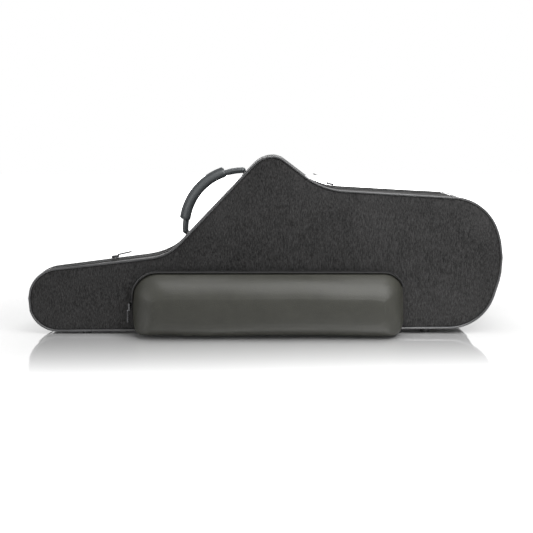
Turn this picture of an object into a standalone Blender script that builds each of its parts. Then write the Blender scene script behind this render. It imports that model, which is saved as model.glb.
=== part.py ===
"""A shaped case for a tenor saxophone, standing on its hinge side. Metres, +Z up.

X runs from the neck end to the bell end, the lid's face looks along -Y, and the case stands on Z = 0.
The lid and the base meet in one flat plane, the zip plane, which leans so that it stays about half way
through the slim neck part and the deep bell part. The outline is drawn in X and Z, over the piping.
"""

import math

import bmesh
import bpy
import numpy as np
from mathutils import Matrix, Vector

COLLECTION = "tenor_saxophone_case"

# Gap that is left between pieces that touch
GAP = 0.0003

# Outline of the case over its piping
HALF_LENGTH = 0.420
BOTTOM_AT_NECK = 0.003
BOTTOM_AT_BELL = 0.009
NECK_END_HEIGHT = 0.1105
NECK_TOP_RISE = 0.1125
NECK_CORNER_X = -0.1737
HUMP_LEFT = (-0.0087, 0.3135)
HUMP_RIGHT = (0.0235, 0.3158)
FLANK_FOOT = (0.1011, 0.2560)
BELL_TOP_CORNER = (0.3933, 0.2390)
BELL_NOSE_HEIGHT = 0.1347
BELL_BOTTOM_CORNER_X = 0.386
NOSE_LEAN = math.radians(18.5)
NECK_END_RADIUS = 0.053
NECK_BEND_RADIUS = 0.084
HUMP_LEFT_RADIUS = 0.048
HUMP_RIGHT_RADIUS = 0.034
FLANK_RADIUS = 0.126
BELL_CORNER_RADIUS = 0.086
NOSE_RADIUS = 0.150
ARC_STEP = math.radians(15)
RUN_STEP = 0.050

# Depths behind the lid's face
LID_DEPTH_NECK = 0.020
LID_DEPTH_BELL = 0.130
NECK_DEPTH = 0.088
BODY_DEPTH = 0.200
RAMP_START = -0.250
RAMP_LENGTH = 0.140
NECK_EDGE_RADIUS = 0.036
BODY_EDGE_RADIUS = 0.022

# Walls, from the outside in
SHELL = 0.009
LINING = 0.0025
LID_CHAMFER = 0.0022
PIPING_RADIUS = 0.002
REAR_PIPING_RADIUS = 0.0017

# Main zip and the fabric hinge
TAPE_WIDTH = 0.010
TAPE_THICKNESS = 0.0008
COIL_RADIUS = 0.0012
HINGE_START = -0.384
HINGE_END = 0.347
HINGE_LINE = (-0.300, 0.300)
HINGE_TAPE_WIDTH = 0.011
LID_OPENING = math.radians(110)

# Pocket on the lid's face
POCKET_LEFT = -0.233
POCKET_RIGHT = 0.242
POCKET_BOTTOM = 0.0145
POCKET_TOP = 0.110
POCKET_BOTTOM_RADIUS = 0.014
POCKET_RIGHT_RADIUS = 0.035
POCKET_LEFT_RADIUS = 0.044
POCKET_DEPTH = 0.055
GUSSET_DEPTH = 0.013
GUSSET_WALL = 0.002
LEATHER = 0.003
SAG = 0.0150
SAG_REACH = 0.060
POCKET_TAPE_WIDTH = 0.0055
POCKET_COIL_RADIUS = 0.0010

# Handle on the slope of the hump
HANDLE_LOW_X = -0.148
HANDLE_SPAN = 0.1605
HANDLE_BULGE = 0.0426
HANDLE_BAR_RADIUS = 0.006
HANDLE_DEPTH = 0.118
SLEEVE_START = 0.10
SLEEVE_END = 0.80
SLEEVE_WALL = 0.0015
SLEEVE_FIT = 0.0007
FIN_WIDTH = 0.0045
FIN_THICKNESS = 0.0030
ANCHOR_LENGTH = 0.034
ANCHOR_SHIFT = 0.010
ANCHOR_WIDTH = 0.030
ANCHOR_THICKNESS = 0.0025
RIVET_RADIUS = 0.0035

# Zip sliders and their pulls
SLIDER_LENGTH = 0.0130
SLIDER_WIDTH = 0.0100
SLIDER_HEIGHT = 0.0036
PULL_LENGTH = 0.032
PULL_WIDTH = 0.0075
PULL_THICKNESS = 0.0016
BELL_SLIDER_X = 0.1206
NECK_SLIDER_X = -0.273
BELL_PULL_LIFT = math.radians(17)
NECK_PULL_LIFT = math.radians(5)

# Feet, on the side that the case stands on
FOOT_RADIUS = 0.008
FOOT_PLACES = {
    "lid_foot_neck": (-0.318, 0.011),
    "lid_foot_bell": (0.285, 0.018),
    "base_foot_middle": (-0.050, 0.158),
    "base_foot_bell": (0.285, 0.158),
}

# Foam inside the base: where each cradle stands along X, and how thick it is
CRADLES = {
    "neck_end_cradle": (-0.362, 0.034),
    "stack_cradle": (-0.205, 0.032),
    "bell_cradle": (0.008, 0.036),
    "bow_cradle": (0.352, 0.034),
}
TUBE_AXIS_HEIGHT = 0.066
TUBE_NOTCH_RADIUS = {"neck_end_cradle": 0.026, "stack_cradle": 0.034, "bell_cradle": 0.043, "bow_cradle": 0.047}
BELL_AXIS_HEIGHT = 0.196
BELL_NOTCH_RADIUS = {"bell_cradle": 0.074, "bow_cradle": 0.050}
CRADLE_SETBACK = 0.004
FOAM_GAP = 0.0012
STRAP_WIDTH = 0.024
STRAP_THICKNESS = 0.0015
STRAP_REACH = 0.044

# Accessory box in front of the bell's mouth
BOX_LEFT = -0.094
BOX_RIGHT = -0.018
BOX_LOW = 0.116
BOX_HIGH = 0.168
BOX_FRONT_DEPTH = 0.086
BOX_BACK_DEPTH = 0.165
BOX_WALL = 0.004
BOX_LID = 0.0035
BOX_CLEARANCE = 0.0022

# Foam pads on the lid's lining: (x from, x to, z from, z to, thickness, corner radius)
PADS = {
    "lid_pad_stack": (-0.330, -0.120, 0.030, 0.098, 0.010, 0.012),
    "lid_pad_bell": (0.050, 0.300, 0.045, 0.215, 0.024, 0.020),
}

# Rings for a shoulder strap, on the back
RING_PLACES = {"upper": (0.020, 0.262), "lower": (0.318, 0.196)}
RING_WIRE = 0.0018
RING_WIDTH = 0.030
RING_DROP = 0.022
LUG_HEIGHT = 0.012
LUG_WIDTH = 0.022
LUG_DEPTH = 0.0065

# The box of the whole object is centred on X = 0 and Y = 0
FACE_Y = (POCKET_DEPTH - BODY_DEPTH - GAP - LUG_DEPTH) / 2

FINISHES = {
    "nylon": ((0.045, 0.046, 0.048), 0.85, 0.0),
    "plush": ((0.03, 0.03, 0.035), 0.95, 0.0),
    "foam": ((0.05, 0.05, 0.055), 0.95, 0.0),
    "piping": ((0.09, 0.09, 0.095), 0.35, 0.0),
    "tape": ((0.02, 0.021, 0.022), 0.8, 0.0),
    "coil": ((0.03, 0.03, 0.03), 0.4, 0.0),
    "leather": ((0.055, 0.054, 0.048), 0.42, 0.0),
    "handle_leather": ((0.015, 0.017, 0.022), 0.3, 0.0),
    "metal": ((0.62, 0.62, 0.64), 0.22, 1.0),
    "rubber": ((0.02, 0.02, 0.02), 0.7, 0.0),
}


def clear_scene():
    """Remove every object of the scene that is open."""
    for obj in list(bpy.data.objects):
        bpy.data.objects.remove(obj, do_unlink=True)


def collection(name):
    """A new collection in the scene."""
    made = bpy.data.collections.new(name)
    bpy.context.scene.collection.children.link(made)
    return made


def finish(obj, name):
    """Give an object one plain material of its own."""
    colour, roughness, metallic = FINISHES[name]
    material = bpy.data.materials.new(f"{obj.name}_{name}")
    material.use_nodes = True
    shader = material.node_tree.nodes["Principled BSDF"]
    shader.inputs["Base Color"].default_value = (*colour, 1.0)
    shader.inputs["Roughness"].default_value = roughness
    shader.inputs["Metallic"].default_value = metallic
    obj.data.materials.append(material)


def add_object(name, data, finish_name):
    """Put mesh or curve data into the case's collection under a node's name."""
    obj = bpy.data.objects.new(name, data)
    parts.objects.link(obj)
    finish(obj, finish_name)
    return obj


def add_mesh(name, points, faces, finish_name, smooth_angle=math.radians(35)):
    """A mesh object from rings of points and the faces between them."""
    mesh = bpy.data.meshes.new(name)
    mesh.from_pydata([tuple(p) for p in points], [], faces)
    mesh.shade_smooth()
    mesh.set_sharp_from_angle(angle=smooth_angle)
    return add_object(name, mesh, finish_name)


def pivot(name, point):
    """An empty on a joint's axis, which carries the pieces that move with it."""
    empty = bpy.data.objects.new(name, None)
    empty.location = point
    empty.empty_display_size = 0.02
    parts.objects.link(empty)
    return empty


def hang(obj, parent):
    """Parent a piece, or another pivot, to a pivot without moving it."""
    obj.parent = parent
    obj.location = obj.location - world_place(parent)


def world_place(empty):
    """World position of an unturned pivot, down its chain of parents."""
    place = empty.location.copy()
    while empty.parent:
        empty = empty.parent
        place += empty.location
    return place


def set_origin(obj, point):
    """Move an unturned object's origin to a world point, and leave its shape where it is."""
    obj.data.transform(Matrix.Translation(obj.location - Vector(point)))
    obj.location = point


def solidify(obj, thickness, offset):
    """Give an open surface its wall."""
    wall = obj.modifiers.new("wall", "SOLIDIFY")
    wall.thickness = thickness
    wall.offset = offset
    wall.use_even_offset = True


def direction(start, end):
    """Unit vector from one (x, z) point to another."""
    run = np.subtract(end, start)
    return run / np.linalg.norm(run)


def rounded(corners, arc_step, run_step):
    """Points and outward normals of a closed polygon, counter-clockwise, whose corners are arcs."""
    count = len(corners)
    points = []
    normals = []
    for index in range(count):
        before = corners[index - 1][:2]
        corner = corners[index][:2]
        after = corners[(index + 1) % count][:2]
        radius = corners[index][2]
        way_in = direction(before, corner)
        way_out = direction(corner, after)
        turn = math.atan2(way_in[0] * way_out[1] - way_in[1] * way_out[0], way_in @ way_out)
        reach = radius * math.tan(abs(turn) / 2)
        side = math.copysign(1.0, turn)
        heading = math.atan2(way_in[1], way_in[0])
        start_normal = np.array([math.sin(heading), -math.cos(heading)])
        centre = np.subtract(corner, way_in * reach) - side * radius * start_normal
        steps = max(2, math.ceil(abs(turn) / arc_step))
        for step in range(steps + 1):
            angle = heading + turn * step / steps
            normal = np.array([math.sin(angle), -math.cos(angle)])
            points.append(centre + side * radius * normal)
            normals.append(normal)
        next_radius = corners[(index + 1) % count][2]
        next_out = direction(after, corners[(index + 2) % count][:2])
        next_turn = math.atan2(way_out[0] * next_out[1] - way_out[1] * next_out[0], way_out @ next_out)
        next_start = np.subtract(after, way_out * next_radius * math.tan(abs(next_turn) / 2))
        run = next_start - points[-1]
        pieces = math.ceil(np.linalg.norm(run) / run_step)
        last = points[-1]
        for piece in range(1, pieces):
            points.append(last + run * piece / pieces)
            normals.append(normals[-1])
    return np.array(points), np.array(normals)


def in_columns(corners, arc_step, run_step):
    """The rounded outline from its leftmost point round, with each upper point above a lower one."""
    coarse, _ = rounded(corners, arc_step, run_step)
    fine, fine_normals = rounded(corners, arc_step / 8, run_step / 8)
    shift = int(np.argmin(fine[:, 0] + 1e-3 * np.abs(fine[:, 1] - fine[:, 1].mean())))
    fine = np.roll(fine, -shift, axis=0)
    fine_normals = np.roll(fine_normals, -shift, axis=0)
    far = int(np.argmax(fine[:, 0]))
    lower = slice(0, far + 1)
    upper = np.r_[far : len(fine), 0]
    left = fine[0]
    right = fine[far]
    above = np.interp(coarse[:, 0], fine[lower, 0], fine[lower, 1])
    is_upper = coarse[:, 1] > above + 0.02
    inside = (coarse[:, 0] > left[0] + 1e-4) & (coarse[:, 0] < right[0] - 1e-4)
    columns = np.unique(np.round(coarse[is_upper & inside, 0], 5))
    lower_part = chain(columns, fine[lower], fine_normals[lower])
    upper_part = chain(columns[::-1], fine[upper], fine_normals[upper])
    points = np.vstack([left, lower_part[0], right, upper_part[0]])
    normals = np.vstack([[-1.0, 0.0], lower_part[1], [1.0, 0.0], upper_part[1]])
    return points, normals


def chain(columns, points, normals):
    """Points and unit normals of one side of an outline at the given x."""
    order = np.argsort(points[:, 0], kind="stable")
    x = points[order, 0]
    height = np.interp(columns, x, points[order, 1])
    normal = np.column_stack([np.interp(columns, x, normals[order, k]) for k in range(2)])
    return np.column_stack([columns, height]), normal / np.linalg.norm(normal, axis=1)[:, None]


def case_corners():
    """Corners of the outline over the piping, counter-clockwise from the bottom of the neck end."""
    nose_x = HALF_LENGTH + NOSE_RADIUS * (1 / math.cos(NOSE_LEAN) - 1)
    bend_height = NECK_END_HEIGHT + NECK_TOP_RISE * (NECK_CORNER_X + HALF_LENGTH)
    return [
        (-HALF_LENGTH, BOTTOM_AT_NECK, NECK_END_RADIUS),
        (BELL_BOTTOM_CORNER_X, BOTTOM_AT_BELL, BELL_CORNER_RADIUS),
        (nose_x, BELL_NOSE_HEIGHT, NOSE_RADIUS),
        (*BELL_TOP_CORNER, BELL_CORNER_RADIUS),
        (*FLANK_FOOT, FLANK_RADIUS),
        (*HUMP_RIGHT, HUMP_RIGHT_RADIUS),
        (*HUMP_LEFT, HUMP_LEFT_RADIUS),
        (NECK_CORNER_X, bend_height, NECK_BEND_RADIUS),
        (-HALF_LENGTH, NECK_END_HEIGHT, NECK_END_RADIUS),
    ]


def blend(x, low, high):
    """Smooth change from the neck part's value to the body's, along X."""
    share = np.clip((np.asarray(x) - RAMP_START) / RAMP_LENGTH, 0, 1)
    return low + (high - low) * share * share * (3 - 2 * share)


def zip_y(x):
    """The zip plane's Y at a place along X."""
    share = (np.asarray(x) + HALF_LENGTH) / (2 * HALF_LENGTH)
    return FACE_Y + LID_DEPTH_NECK + (LID_DEPTH_BELL - LID_DEPTH_NECK) * share


def back_y(x, inset):
    """Y of the back panel, or of the surface that lies inset inside it, measured square to the panel."""
    along = np.linspace(-HALF_LENGTH - 0.05, HALF_LENGTH + 0.05, 800)
    depth = FACE_Y + blend(along, NECK_DEPTH, BODY_DEPTH)
    slope = np.gradient(depth, along)
    length = np.hypot(1, slope)
    return np.interp(x, along + inset * slope / length, depth - inset / length)


def base_section(inset, turns):
    """The base's side at one distance inside its outer surface, as one ring of points for each angle."""
    edge = blend(outline[:, 0], NECK_EDGE_RADIUS, BODY_EDGE_RADIUS)
    rings = []
    for turn in turns:
        inward = edge - (edge - inset) * math.cos(turn)
        flat = outline - normal_out * inward[:, None]
        depth = back_y(flat[:, 0], 0.0) - edge + (edge - inset) * math.sin(turn)
        if turn >= math.pi / 2:
            depth = back_y(flat[:, 0], inset)
        depth = np.minimum(depth, back_y(flat[:, 0], inset))
        rings.append(np.column_stack([flat[:, 0], depth, flat[:, 1]]))
    return rings


def ring_at(flat, depth):
    """A ring of points from (x, z) points and their Y."""
    return np.column_stack([flat[:, 0], np.broadcast_to(depth, len(flat)), flat[:, 1]])


def strip_faces(first, second, count, closed=True):
    """Triangles between two rings, facing out where the second ring lies nearer the front."""
    faces = []
    for i in range(count if closed else count - 1):
        after = (i + 1) % count
        faces.append((first + i, first + after, second + after))
        faces.append((first + i, second + after, second + i))
    return faces


def panel_faces(start, count):
    """Faces that close a ring by joining each lower point to the one above it, facing front."""
    half = count // 2
    faces = [(start, start + 1, start + count - 1)]
    for i in range(1, half - 1):
        faces.append((start + i, start + i + 1, start + count - i - 1))
        faces.append((start + i, start + count - i - 1, start + count - i))
    faces.append((start + half - 1, start + half, start + half + 1))
    return faces


def flipped(faces):
    """The same faces turned round."""
    return [tuple(reversed(face)) for face in faces]


def dish(name, outer, inner, finish_name, opens_to_front):
    """A closed dish, lofted between an outer and an inner set of rings that both run from its rim to its floor."""
    count = len(outer[0])
    start = len(outer) * count
    faces = []
    for k in range(len(outer) - 1):
        faces += flipped(strip_faces(k * count, (k + 1) * count, count))
    faces += flipped(panel_faces(start - count, count))
    for k in range(len(inner) - 1):
        faces += strip_faces(start + k * count, start + (k + 1) * count, count)
    faces += panel_faces(start + (len(inner) - 1) * count, count)
    faces += strip_faces(0, start, count)
    if not opens_to_front:
        faces = flipped(faces)
    return add_mesh(name, np.vstack([*outer, *inner]), faces, finish_name)


def tube(name, points, radius, finish_name, closed=False, sides=2, radii=None):
    """A round cord along a row of points."""
    curve = bpy.data.curves.new(name, "CURVE")
    curve.dimensions = "3D"
    curve.bevel_depth = radius
    curve.bevel_resolution = sides
    curve.use_fill_caps = True
    spline = curve.splines.new("POLY")
    spline.points.add(len(points) - 1)
    for index, (point, place) in enumerate(zip(spline.points, points)):
        point.co = (*place, 1.0)
        point.radius = 1.0 if radii is None else radii[index]
    spline.use_cyclic_u = closed
    return add_object(name, curve, finish_name)


def band(name, rings, thickness, finish_name):
    """A strip of cloth on a surface: rows of points from one long edge to the other, with its thickness outside."""
    count = len(rings[0])
    faces = []
    for k in range(len(rings) - 1):
        faces += strip_faces(k * count, (k + 1) * count, count, closed=False)
    obj = add_mesh(name, np.vstack(rings), faces, finish_name)
    solidify(obj, thickness, 1.0)
    return obj


def as_mesh(obj):
    """Turn a curve object into a mesh object of the same name, with its caps welded on."""
    name = obj.name
    graph = bpy.context.evaluated_depsgraph_get()
    mesh = bpy.data.meshes.new_from_object(obj.evaluated_get(graph))
    matrix = obj.matrix_world.copy()
    bpy.data.objects.remove(obj, do_unlink=True)
    work = bmesh.new()
    work.from_mesh(mesh)
    bmesh.ops.remove_doubles(work, verts=work.verts, dist=0.00001)
    work.to_mesh(mesh)
    work.free()
    made = bpy.data.objects.new(name, mesh)
    made.matrix_world = matrix
    parts.objects.link(made)
    return made


def block(name, low, high, finish_name, bevel=0.0, segments=2):
    """A box between two corners, with its edges rounded."""
    work = bmesh.new()
    bmesh.ops.create_cube(work, size=1.0)
    size = np.subtract(high, low)
    centre = np.add(high, low) / 2
    bmesh.ops.scale(work, verts=work.verts, vec=size)
    bmesh.ops.translate(work, verts=work.verts, vec=centre)
    mesh = bpy.data.meshes.new(name)
    work.to_mesh(mesh)
    work.free()
    obj = add_object(name, mesh, finish_name)
    if bevel:
        rounding = obj.modifiers.new("rounding", "BEVEL")
        rounding.width = bevel
        rounding.segments = segments
    return obj


def cylinder(name, centre, axis, radius, length, finish_name, sides=24):
    """A round bar about a point, along an axis."""
    work = bmesh.new()
    turn = Vector((0, 0, 1)).rotation_difference(Vector(axis)).to_matrix().to_4x4()
    bmesh.ops.create_cone(
        work, cap_ends=True, segments=sides, radius1=radius, radius2=radius, depth=length,
        matrix=Matrix.Translation(centre) @ turn,
    )
    mesh = bpy.data.meshes.new(name)
    work.to_mesh(mesh)
    work.free()
    return add_object(name, mesh, finish_name)


def as_cutter(obj):
    """Move a shape into the collection of cutters."""
    parts.objects.unlink(obj)
    cutters.objects.link(obj)
    obj.hide_render = True
    obj.display_type = "WIRE"
    return obj


def cut(obj, cutter, operation="DIFFERENCE"):
    """Cut an object by another, or keep what the two share."""
    step = obj.modifiers.new(cutter.name, "BOOLEAN")
    step.operation = operation
    step.solver = "EXACT"
    step.object = cutter


def wall_point(x, upper=True):
    """The outer wall's (x, z) point, its outward normal and its heading toward +X, at a place along X."""
    half = len(outline) // 2
    index = np.arange(half, len(outline)) if upper else np.arange(0, half + 1)
    order = index[np.argsort(outline[index, 0])]
    z = np.interp(x, outline[order, 0], outline[order, 1])
    normal = np.array([np.interp(x, outline[order, 0], normal_out[order, k]) for k in range(2)])
    normal /= np.linalg.norm(normal)
    heading = np.array([normal[1], -normal[0]])
    return np.array([x, z]), normal, heading


clear_scene()
parts = collection(COLLECTION)
cutters = collection("cutters")

# Outer wall of both shells: the outline less what the piping stands proud
piping_offset = (PIPING_RADIUS + GAP - LID_CHAMFER / math.sqrt(2)) / math.sqrt(2)
PIPING_REACH = piping_offset + PIPING_RADIUS
edge_line, normal_out = in_columns(case_corners(), ARC_STEP, RUN_STEP)
outline = edge_line - normal_out * PIPING_REACH
count = len(outline)
half = count // 2
on_hinge = (np.arange(count) <= half) & (outline[:, 0] >= HINGE_START) & (outline[:, 0] <= HINGE_END)
hinge_index = np.flatnonzero(on_hinge)
zip_index = np.r_[hinge_index[-1] + 1 : count, 0 : hinge_index[0]]

# The hinge's axis lies in the zip plane, just under the hinge tape
hinge_drop = GAP + TAPE_THICKNESS + GAP
hinge_start, hinge_end = [
    Vector((x, float(zip_y(x)), wall_point(x, upper=False)[0][1] - hinge_drop)) for x in HINGE_LINE
]
hinge_axis = (hinge_end - hinge_start).normalized()
hinge_point = hinge_start.lerp(hinge_end, 0.5)
lid_pivot = pivot("lid_pivot", hinge_point)
lid_pieces = []

# Base shell and its lining
turns = [0.0, math.radians(30), math.radians(60), math.radians(90)]
rim = zip_y(outline[:, 0]) + GAP


def base_layer(name, outside, inside, finish_name):
    """One layer of the base, between two distances inside its outer surface."""
    sets = []
    for inset in (outside, inside):
        flat = outline - normal_out * inset
        front = ring_at(flat, zip_y(flat[:, 0]) + GAP)
        sets.append([front, *base_section(inset, turns)])
    return dish(name, sets[0], sets[1], finish_name, opens_to_front=True)


base_layer("base_shell", 0.0, SHELL, "nylon")
base_layer("base_lining", SHELL + GAP, SHELL + GAP + LINING, "plush")
cavity_inset = SHELL + GAP + LINING + FOAM_GAP

# Lid shell, lining and the piping round its face
def lid_ring(inset, depth=None):
    """A ring of the lid at a distance inside its outer surface, at its rim or at a depth behind the face."""
    flat = outline - normal_out * inset
    if depth is None:
        return ring_at(flat, zip_y(flat[:, 0]) - GAP)
    return ring_at(flat, FACE_Y + depth)


lid_shell = dish(
    "lid_shell",
    [lid_ring(0.0), lid_ring(0.0, LID_CHAMFER), lid_ring(LID_CHAMFER, 0.0)],
    [lid_ring(SHELL), lid_ring(SHELL, SHELL)],
    "nylon",
    opens_to_front=False,
)
lining_out = SHELL + GAP
lining_in = lining_out + LINING
lid_lining = dish(
    "lid_lining",
    [lid_ring(lining_out), lid_ring(lining_out, lining_out)],
    [lid_ring(lining_in), lid_ring(lining_in, lining_in)],
    "plush",
    opens_to_front=False,
)
front_piping = tube(
    "front_piping",
    ring_at(outline + normal_out * piping_offset, FACE_Y - piping_offset),
    PIPING_RADIUS,
    "piping",
    closed=True,
    sides=1,
)
lid_pieces += [lid_shell, lid_lining, front_piping]

# Piping on the rounded edge of the back panel
edge_turn = math.radians(45)
seam = base_section(-(REAR_PIPING_RADIUS + GAP), [edge_turn])[0]
tube("rear_piping", seam, REAR_PIPING_RADIUS, "piping", closed=True, sides=1)


def base_surface(index, away, proud):
    """Points on the base's side at a distance away from the zip plane, standing proud of the surface."""
    edge = blend(outline[index, 0], NECK_EDGE_RADIUS, BODY_EDGE_RADIUS)
    front = zip_y(outline[index, 0])
    wall_end = back_y(outline[index, 0], 0.0) - edge
    beyond = np.maximum(front + away - wall_end, 0.0)
    turn = beyond / edge
    inward = edge - (edge + proud) * np.cos(turn)
    flat = outline[index] - normal_out[index] * inward[:, None]
    depth = np.minimum(front + away, wall_end) + (edge + proud) * np.sin(turn)
    return np.column_stack([flat[:, 0], depth, flat[:, 1]])


def lid_surface(index, away, proud):
    """Points on the lid's side at a distance before the zip plane, standing proud of the surface."""
    flat = outline[index] + normal_out[index] * proud
    return ring_at(flat, zip_y(outline[index, 0]) - away)


# Main zip, from the end of the hinge round the bell end, the top and the neck end
coil_height = GAP + TAPE_THICKNESS + GAP + COIL_RADIUS
coil_away = GAP + COIL_RADIUS
band("base_zip_tape", [base_surface(zip_index, a, GAP) for a in (TAPE_WIDTH, TAPE_WIDTH / 2, GAP)], TAPE_THICKNESS, "tape")
tube("base_zip_coil", base_surface(zip_index, coil_away, coil_height), COIL_RADIUS, "coil", sides=0)
lid_zip_tape = band("lid_zip_tape", [lid_surface(zip_index, a, GAP) for a in (GAP, TAPE_WIDTH)], TAPE_THICKNESS, "tape")
lid_zip_coil = tube("lid_zip_coil", lid_surface(zip_index, coil_away, coil_height), COIL_RADIUS, "coil", sides=0)

# Fabric hinge along the bottom
band("base_hinge_tape", [base_surface(hinge_index, a, GAP) for a in (HINGE_TAPE_WIDTH, GAP)], TAPE_THICKNESS, "tape")
lid_hinge_tape = band("lid_hinge_tape", [lid_surface(hinge_index, a, GAP) for a in (GAP, HINGE_TAPE_WIDTH)], TAPE_THICKNESS, "tape")
lid_pieces += [lid_zip_tape, lid_zip_coil, lid_hinge_tape]

# Feet: short rubber studs from the floor to the wall above
for foot_name, (foot_x, foot_depth) in FOOT_PLACES.items():
    wall, _, _ = wall_point(foot_x, upper=False)
    lean = (BOTTOM_AT_BELL - BOTTOM_AT_NECK) / (BELL_BOTTOM_CORNER_X + HALF_LENGTH)
    top = wall[1] - GAP - FOOT_RADIUS * lean
    foot = cylinder(foot_name, (foot_x, FACE_Y + foot_depth, top / 2), (0, 0, 1), FOOT_RADIUS, top, "rubber", 20)
    if foot_name.startswith("lid"):
        lid_pieces.append(foot)

# Handle: the chord between its two ends lies along the slope, one bar's radius above the anchors
low_wall, slope_normal, slope_way = wall_point(HANDLE_LOW_X + 0.03)
slope_start = low_wall - slope_way * 0.03 / slope_way[0]
seat = GAP + ANCHOR_THICKNESS + GAP + HANDLE_BAR_RADIUS
handle_y = FACE_Y + HANDLE_DEPTH
chord_start = slope_start + slope_normal * seat
bulge = HANDLE_BULGE - seat
arc_radius = (HANDLE_SPAN**2 / 4 + bulge**2) / (2 * bulge)
arc_half = math.asin(HANDLE_SPAN / 2 / arc_radius)


def handle_point(share):
    """A point on the handle's arc, at a share of its length from the lower end."""
    angle = (2 * share - 1) * arc_half
    along = HANDLE_SPAN / 2 + arc_radius * math.sin(angle)
    out = arc_radius * (math.cos(angle) - math.cos(arc_half))
    place = chord_start + slope_way * along + slope_normal * out
    return np.array([place[0], handle_y, place[1]])


def handle_frame(share):
    """The handle's outward direction at a share of its length."""
    angle = (2 * share - 1) * arc_half
    out = slope_way * math.sin(angle) + slope_normal * math.cos(angle)
    return np.array([out[0], 0.0, out[1]])


arc_length = 2 * arc_half * arc_radius
tip = HANDLE_BAR_RADIUS / arc_length
tip_shares = [0.0, 0.12 * tip, 0.5 * tip, tip]
bar_shares = [*tip_shares, *np.linspace(tip, 1 - tip, 17)[1:-1], *[1 - s for s in reversed(tip_shares)]]
bar_radii = []
for share in bar_shares:
    from_end = min(share, 1 - share) / tip
    bar_radii.append(math.sqrt(max(0.04, 1 - (1 - min(from_end, 1.0)) ** 2)))
bar_starts_at = tip
handle_core = tube(
    "handle_core",
    [handle_point(s * (1 + 2 * bar_starts_at) - bar_starts_at) for s in bar_shares],
    HANDLE_BAR_RADIUS,
    "handle_leather",
    sides=3,
    radii=bar_radii,
)
handle_pivot = pivot("handle_pivot", (chord_start[0], handle_y, chord_start[1]))
handle_end = chord_start + slope_way * HANDLE_SPAN


fin_half = math.asin(FIN_THICKNESS / 2 / (HANDLE_BAR_RADIUS + SLEEVE_FIT + SLEEVE_WALL))
sleeve_angles = np.linspace(fin_half, 2 * math.pi - fin_half, 13)


def sleeve_ring(share):
    """The grip's section: a ring round the bar with a flat sewn fin on its outer side."""
    centre = handle_point(share)
    out = handle_frame(share)
    side = np.array([0.0, 1.0, 0.0])
    radius = HANDLE_BAR_RADIUS + SLEEVE_FIT + SLEEVE_WALL
    fin_tip = radius + FIN_WIDTH
    ring = [centre + out * fin_tip + side * (FIN_THICKNESS / 2)]
    for angle in sleeve_angles:
        ring.append(centre + radius * (out * math.cos(angle) + side * math.sin(angle)))
    ring.append(centre + out * fin_tip - side * (FIN_THICKNESS / 2))
    return ring


def sleeve_bore(share):
    """The grip's inner ring, clear of the bar."""
    centre = handle_point(share)
    out = handle_frame(share)
    side = np.array([0.0, 1.0, 0.0])
    ring = []
    for angle in [fin_half / 2, *sleeve_angles, -fin_half / 2]:
        ring.append(centre + (HANDLE_BAR_RADIUS + SLEEVE_FIT) * (out * math.cos(angle) + side * math.sin(angle)))
    return ring


sleeve_shares = np.linspace(SLEEVE_START, SLEEVE_END, 11)
sleeve_outer = [np.array(sleeve_ring(s)) for s in sleeve_shares]
sleeve_inner = [np.array(sleeve_bore(s)) for s in sleeve_shares]
ring_count = len(sleeve_outer[0])
rows = len(sleeve_shares)
sleeve_faces = []
for k in range(rows - 1):
    sleeve_faces += flipped(strip_faces(k * ring_count, (k + 1) * ring_count, ring_count))
    sleeve_faces += strip_faces((rows + k) * ring_count, (rows + k + 1) * ring_count, ring_count)
sleeve_faces += strip_faces(0, rows * ring_count, ring_count)
sleeve_faces += flipped(strip_faces((rows - 1) * ring_count, (2 * rows - 1) * ring_count, ring_count))
handle_sleeve = add_mesh("handle_sleeve", np.vstack([*sleeve_outer, *sleeve_inner]), sleeve_faces, "handle_leather")
for piece in (handle_core, handle_sleeve):
    set_origin(piece, handle_pivot.location)
    hang(piece, handle_pivot)


def slope_matrix(place, lift):
    """Places a flat piece on the slope: its X along the slope, its Z out of it."""
    way = Vector((slope_way[0], 0, slope_way[1]))
    out = Vector((slope_normal[0], 0, slope_normal[1]))
    side = out.cross(way)
    turn = Matrix((way, side, out)).transposed().to_4x4()
    where = place + slope_normal * lift
    return Matrix.Translation((where[0], handle_y, where[1])) @ turn


for end_name, shift in (("lower", 0.0), ("upper", HANDLE_SPAN)):
    spot = slope_start + slope_way * shift
    half_size = np.array([ANCHOR_LENGTH, ANCHOR_WIDTH, ANCHOR_THICKNESS]) / 2
    anchor = block(f"handle_anchor_{end_name}", -half_size, half_size, "handle_leather", 0.0008, 1)
    inward = ANCHOR_SHIFT if shift == 0.0 else -ANCHOR_SHIFT
    anchor.data.transform(slope_matrix(spot + slope_way * inward, GAP + ANCHOR_THICKNESS / 2))
    for way_name, way_sign in (("front", -1), ("rear", 1)):
        rivet = cylinder(
            f"handle_rivet_{end_name}_{way_name}", (0, 0, 0), (0, 0, 1), RIVET_RADIUS, 0.0016, "metal", 14
        )
        shift_y = Matrix.Translation((0, way_sign * (ANCHOR_WIDTH / 2 - RIVET_RADIUS - 0.002), 0))
        rivet.data.transform(slope_matrix(spot, GAP + ANCHOR_THICKNESS + GAP + 0.0008) @ shift_y)

# Pocket root on the lid's face
pocket_corners = [
    (POCKET_LEFT, POCKET_BOTTOM, POCKET_BOTTOM_RADIUS),
    (POCKET_RIGHT, POCKET_BOTTOM, POCKET_BOTTOM_RADIUS),
    (POCKET_RIGHT, POCKET_TOP, POCKET_RIGHT_RADIUS),
    (POCKET_LEFT, POCKET_TOP, POCKET_LEFT_RADIUS),
]
pocket_line, pocket_normal = in_columns(pocket_corners, math.radians(15), 0.080)
pocket_count = len(pocket_line)
pocket_half = pocket_count // 2


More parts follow.
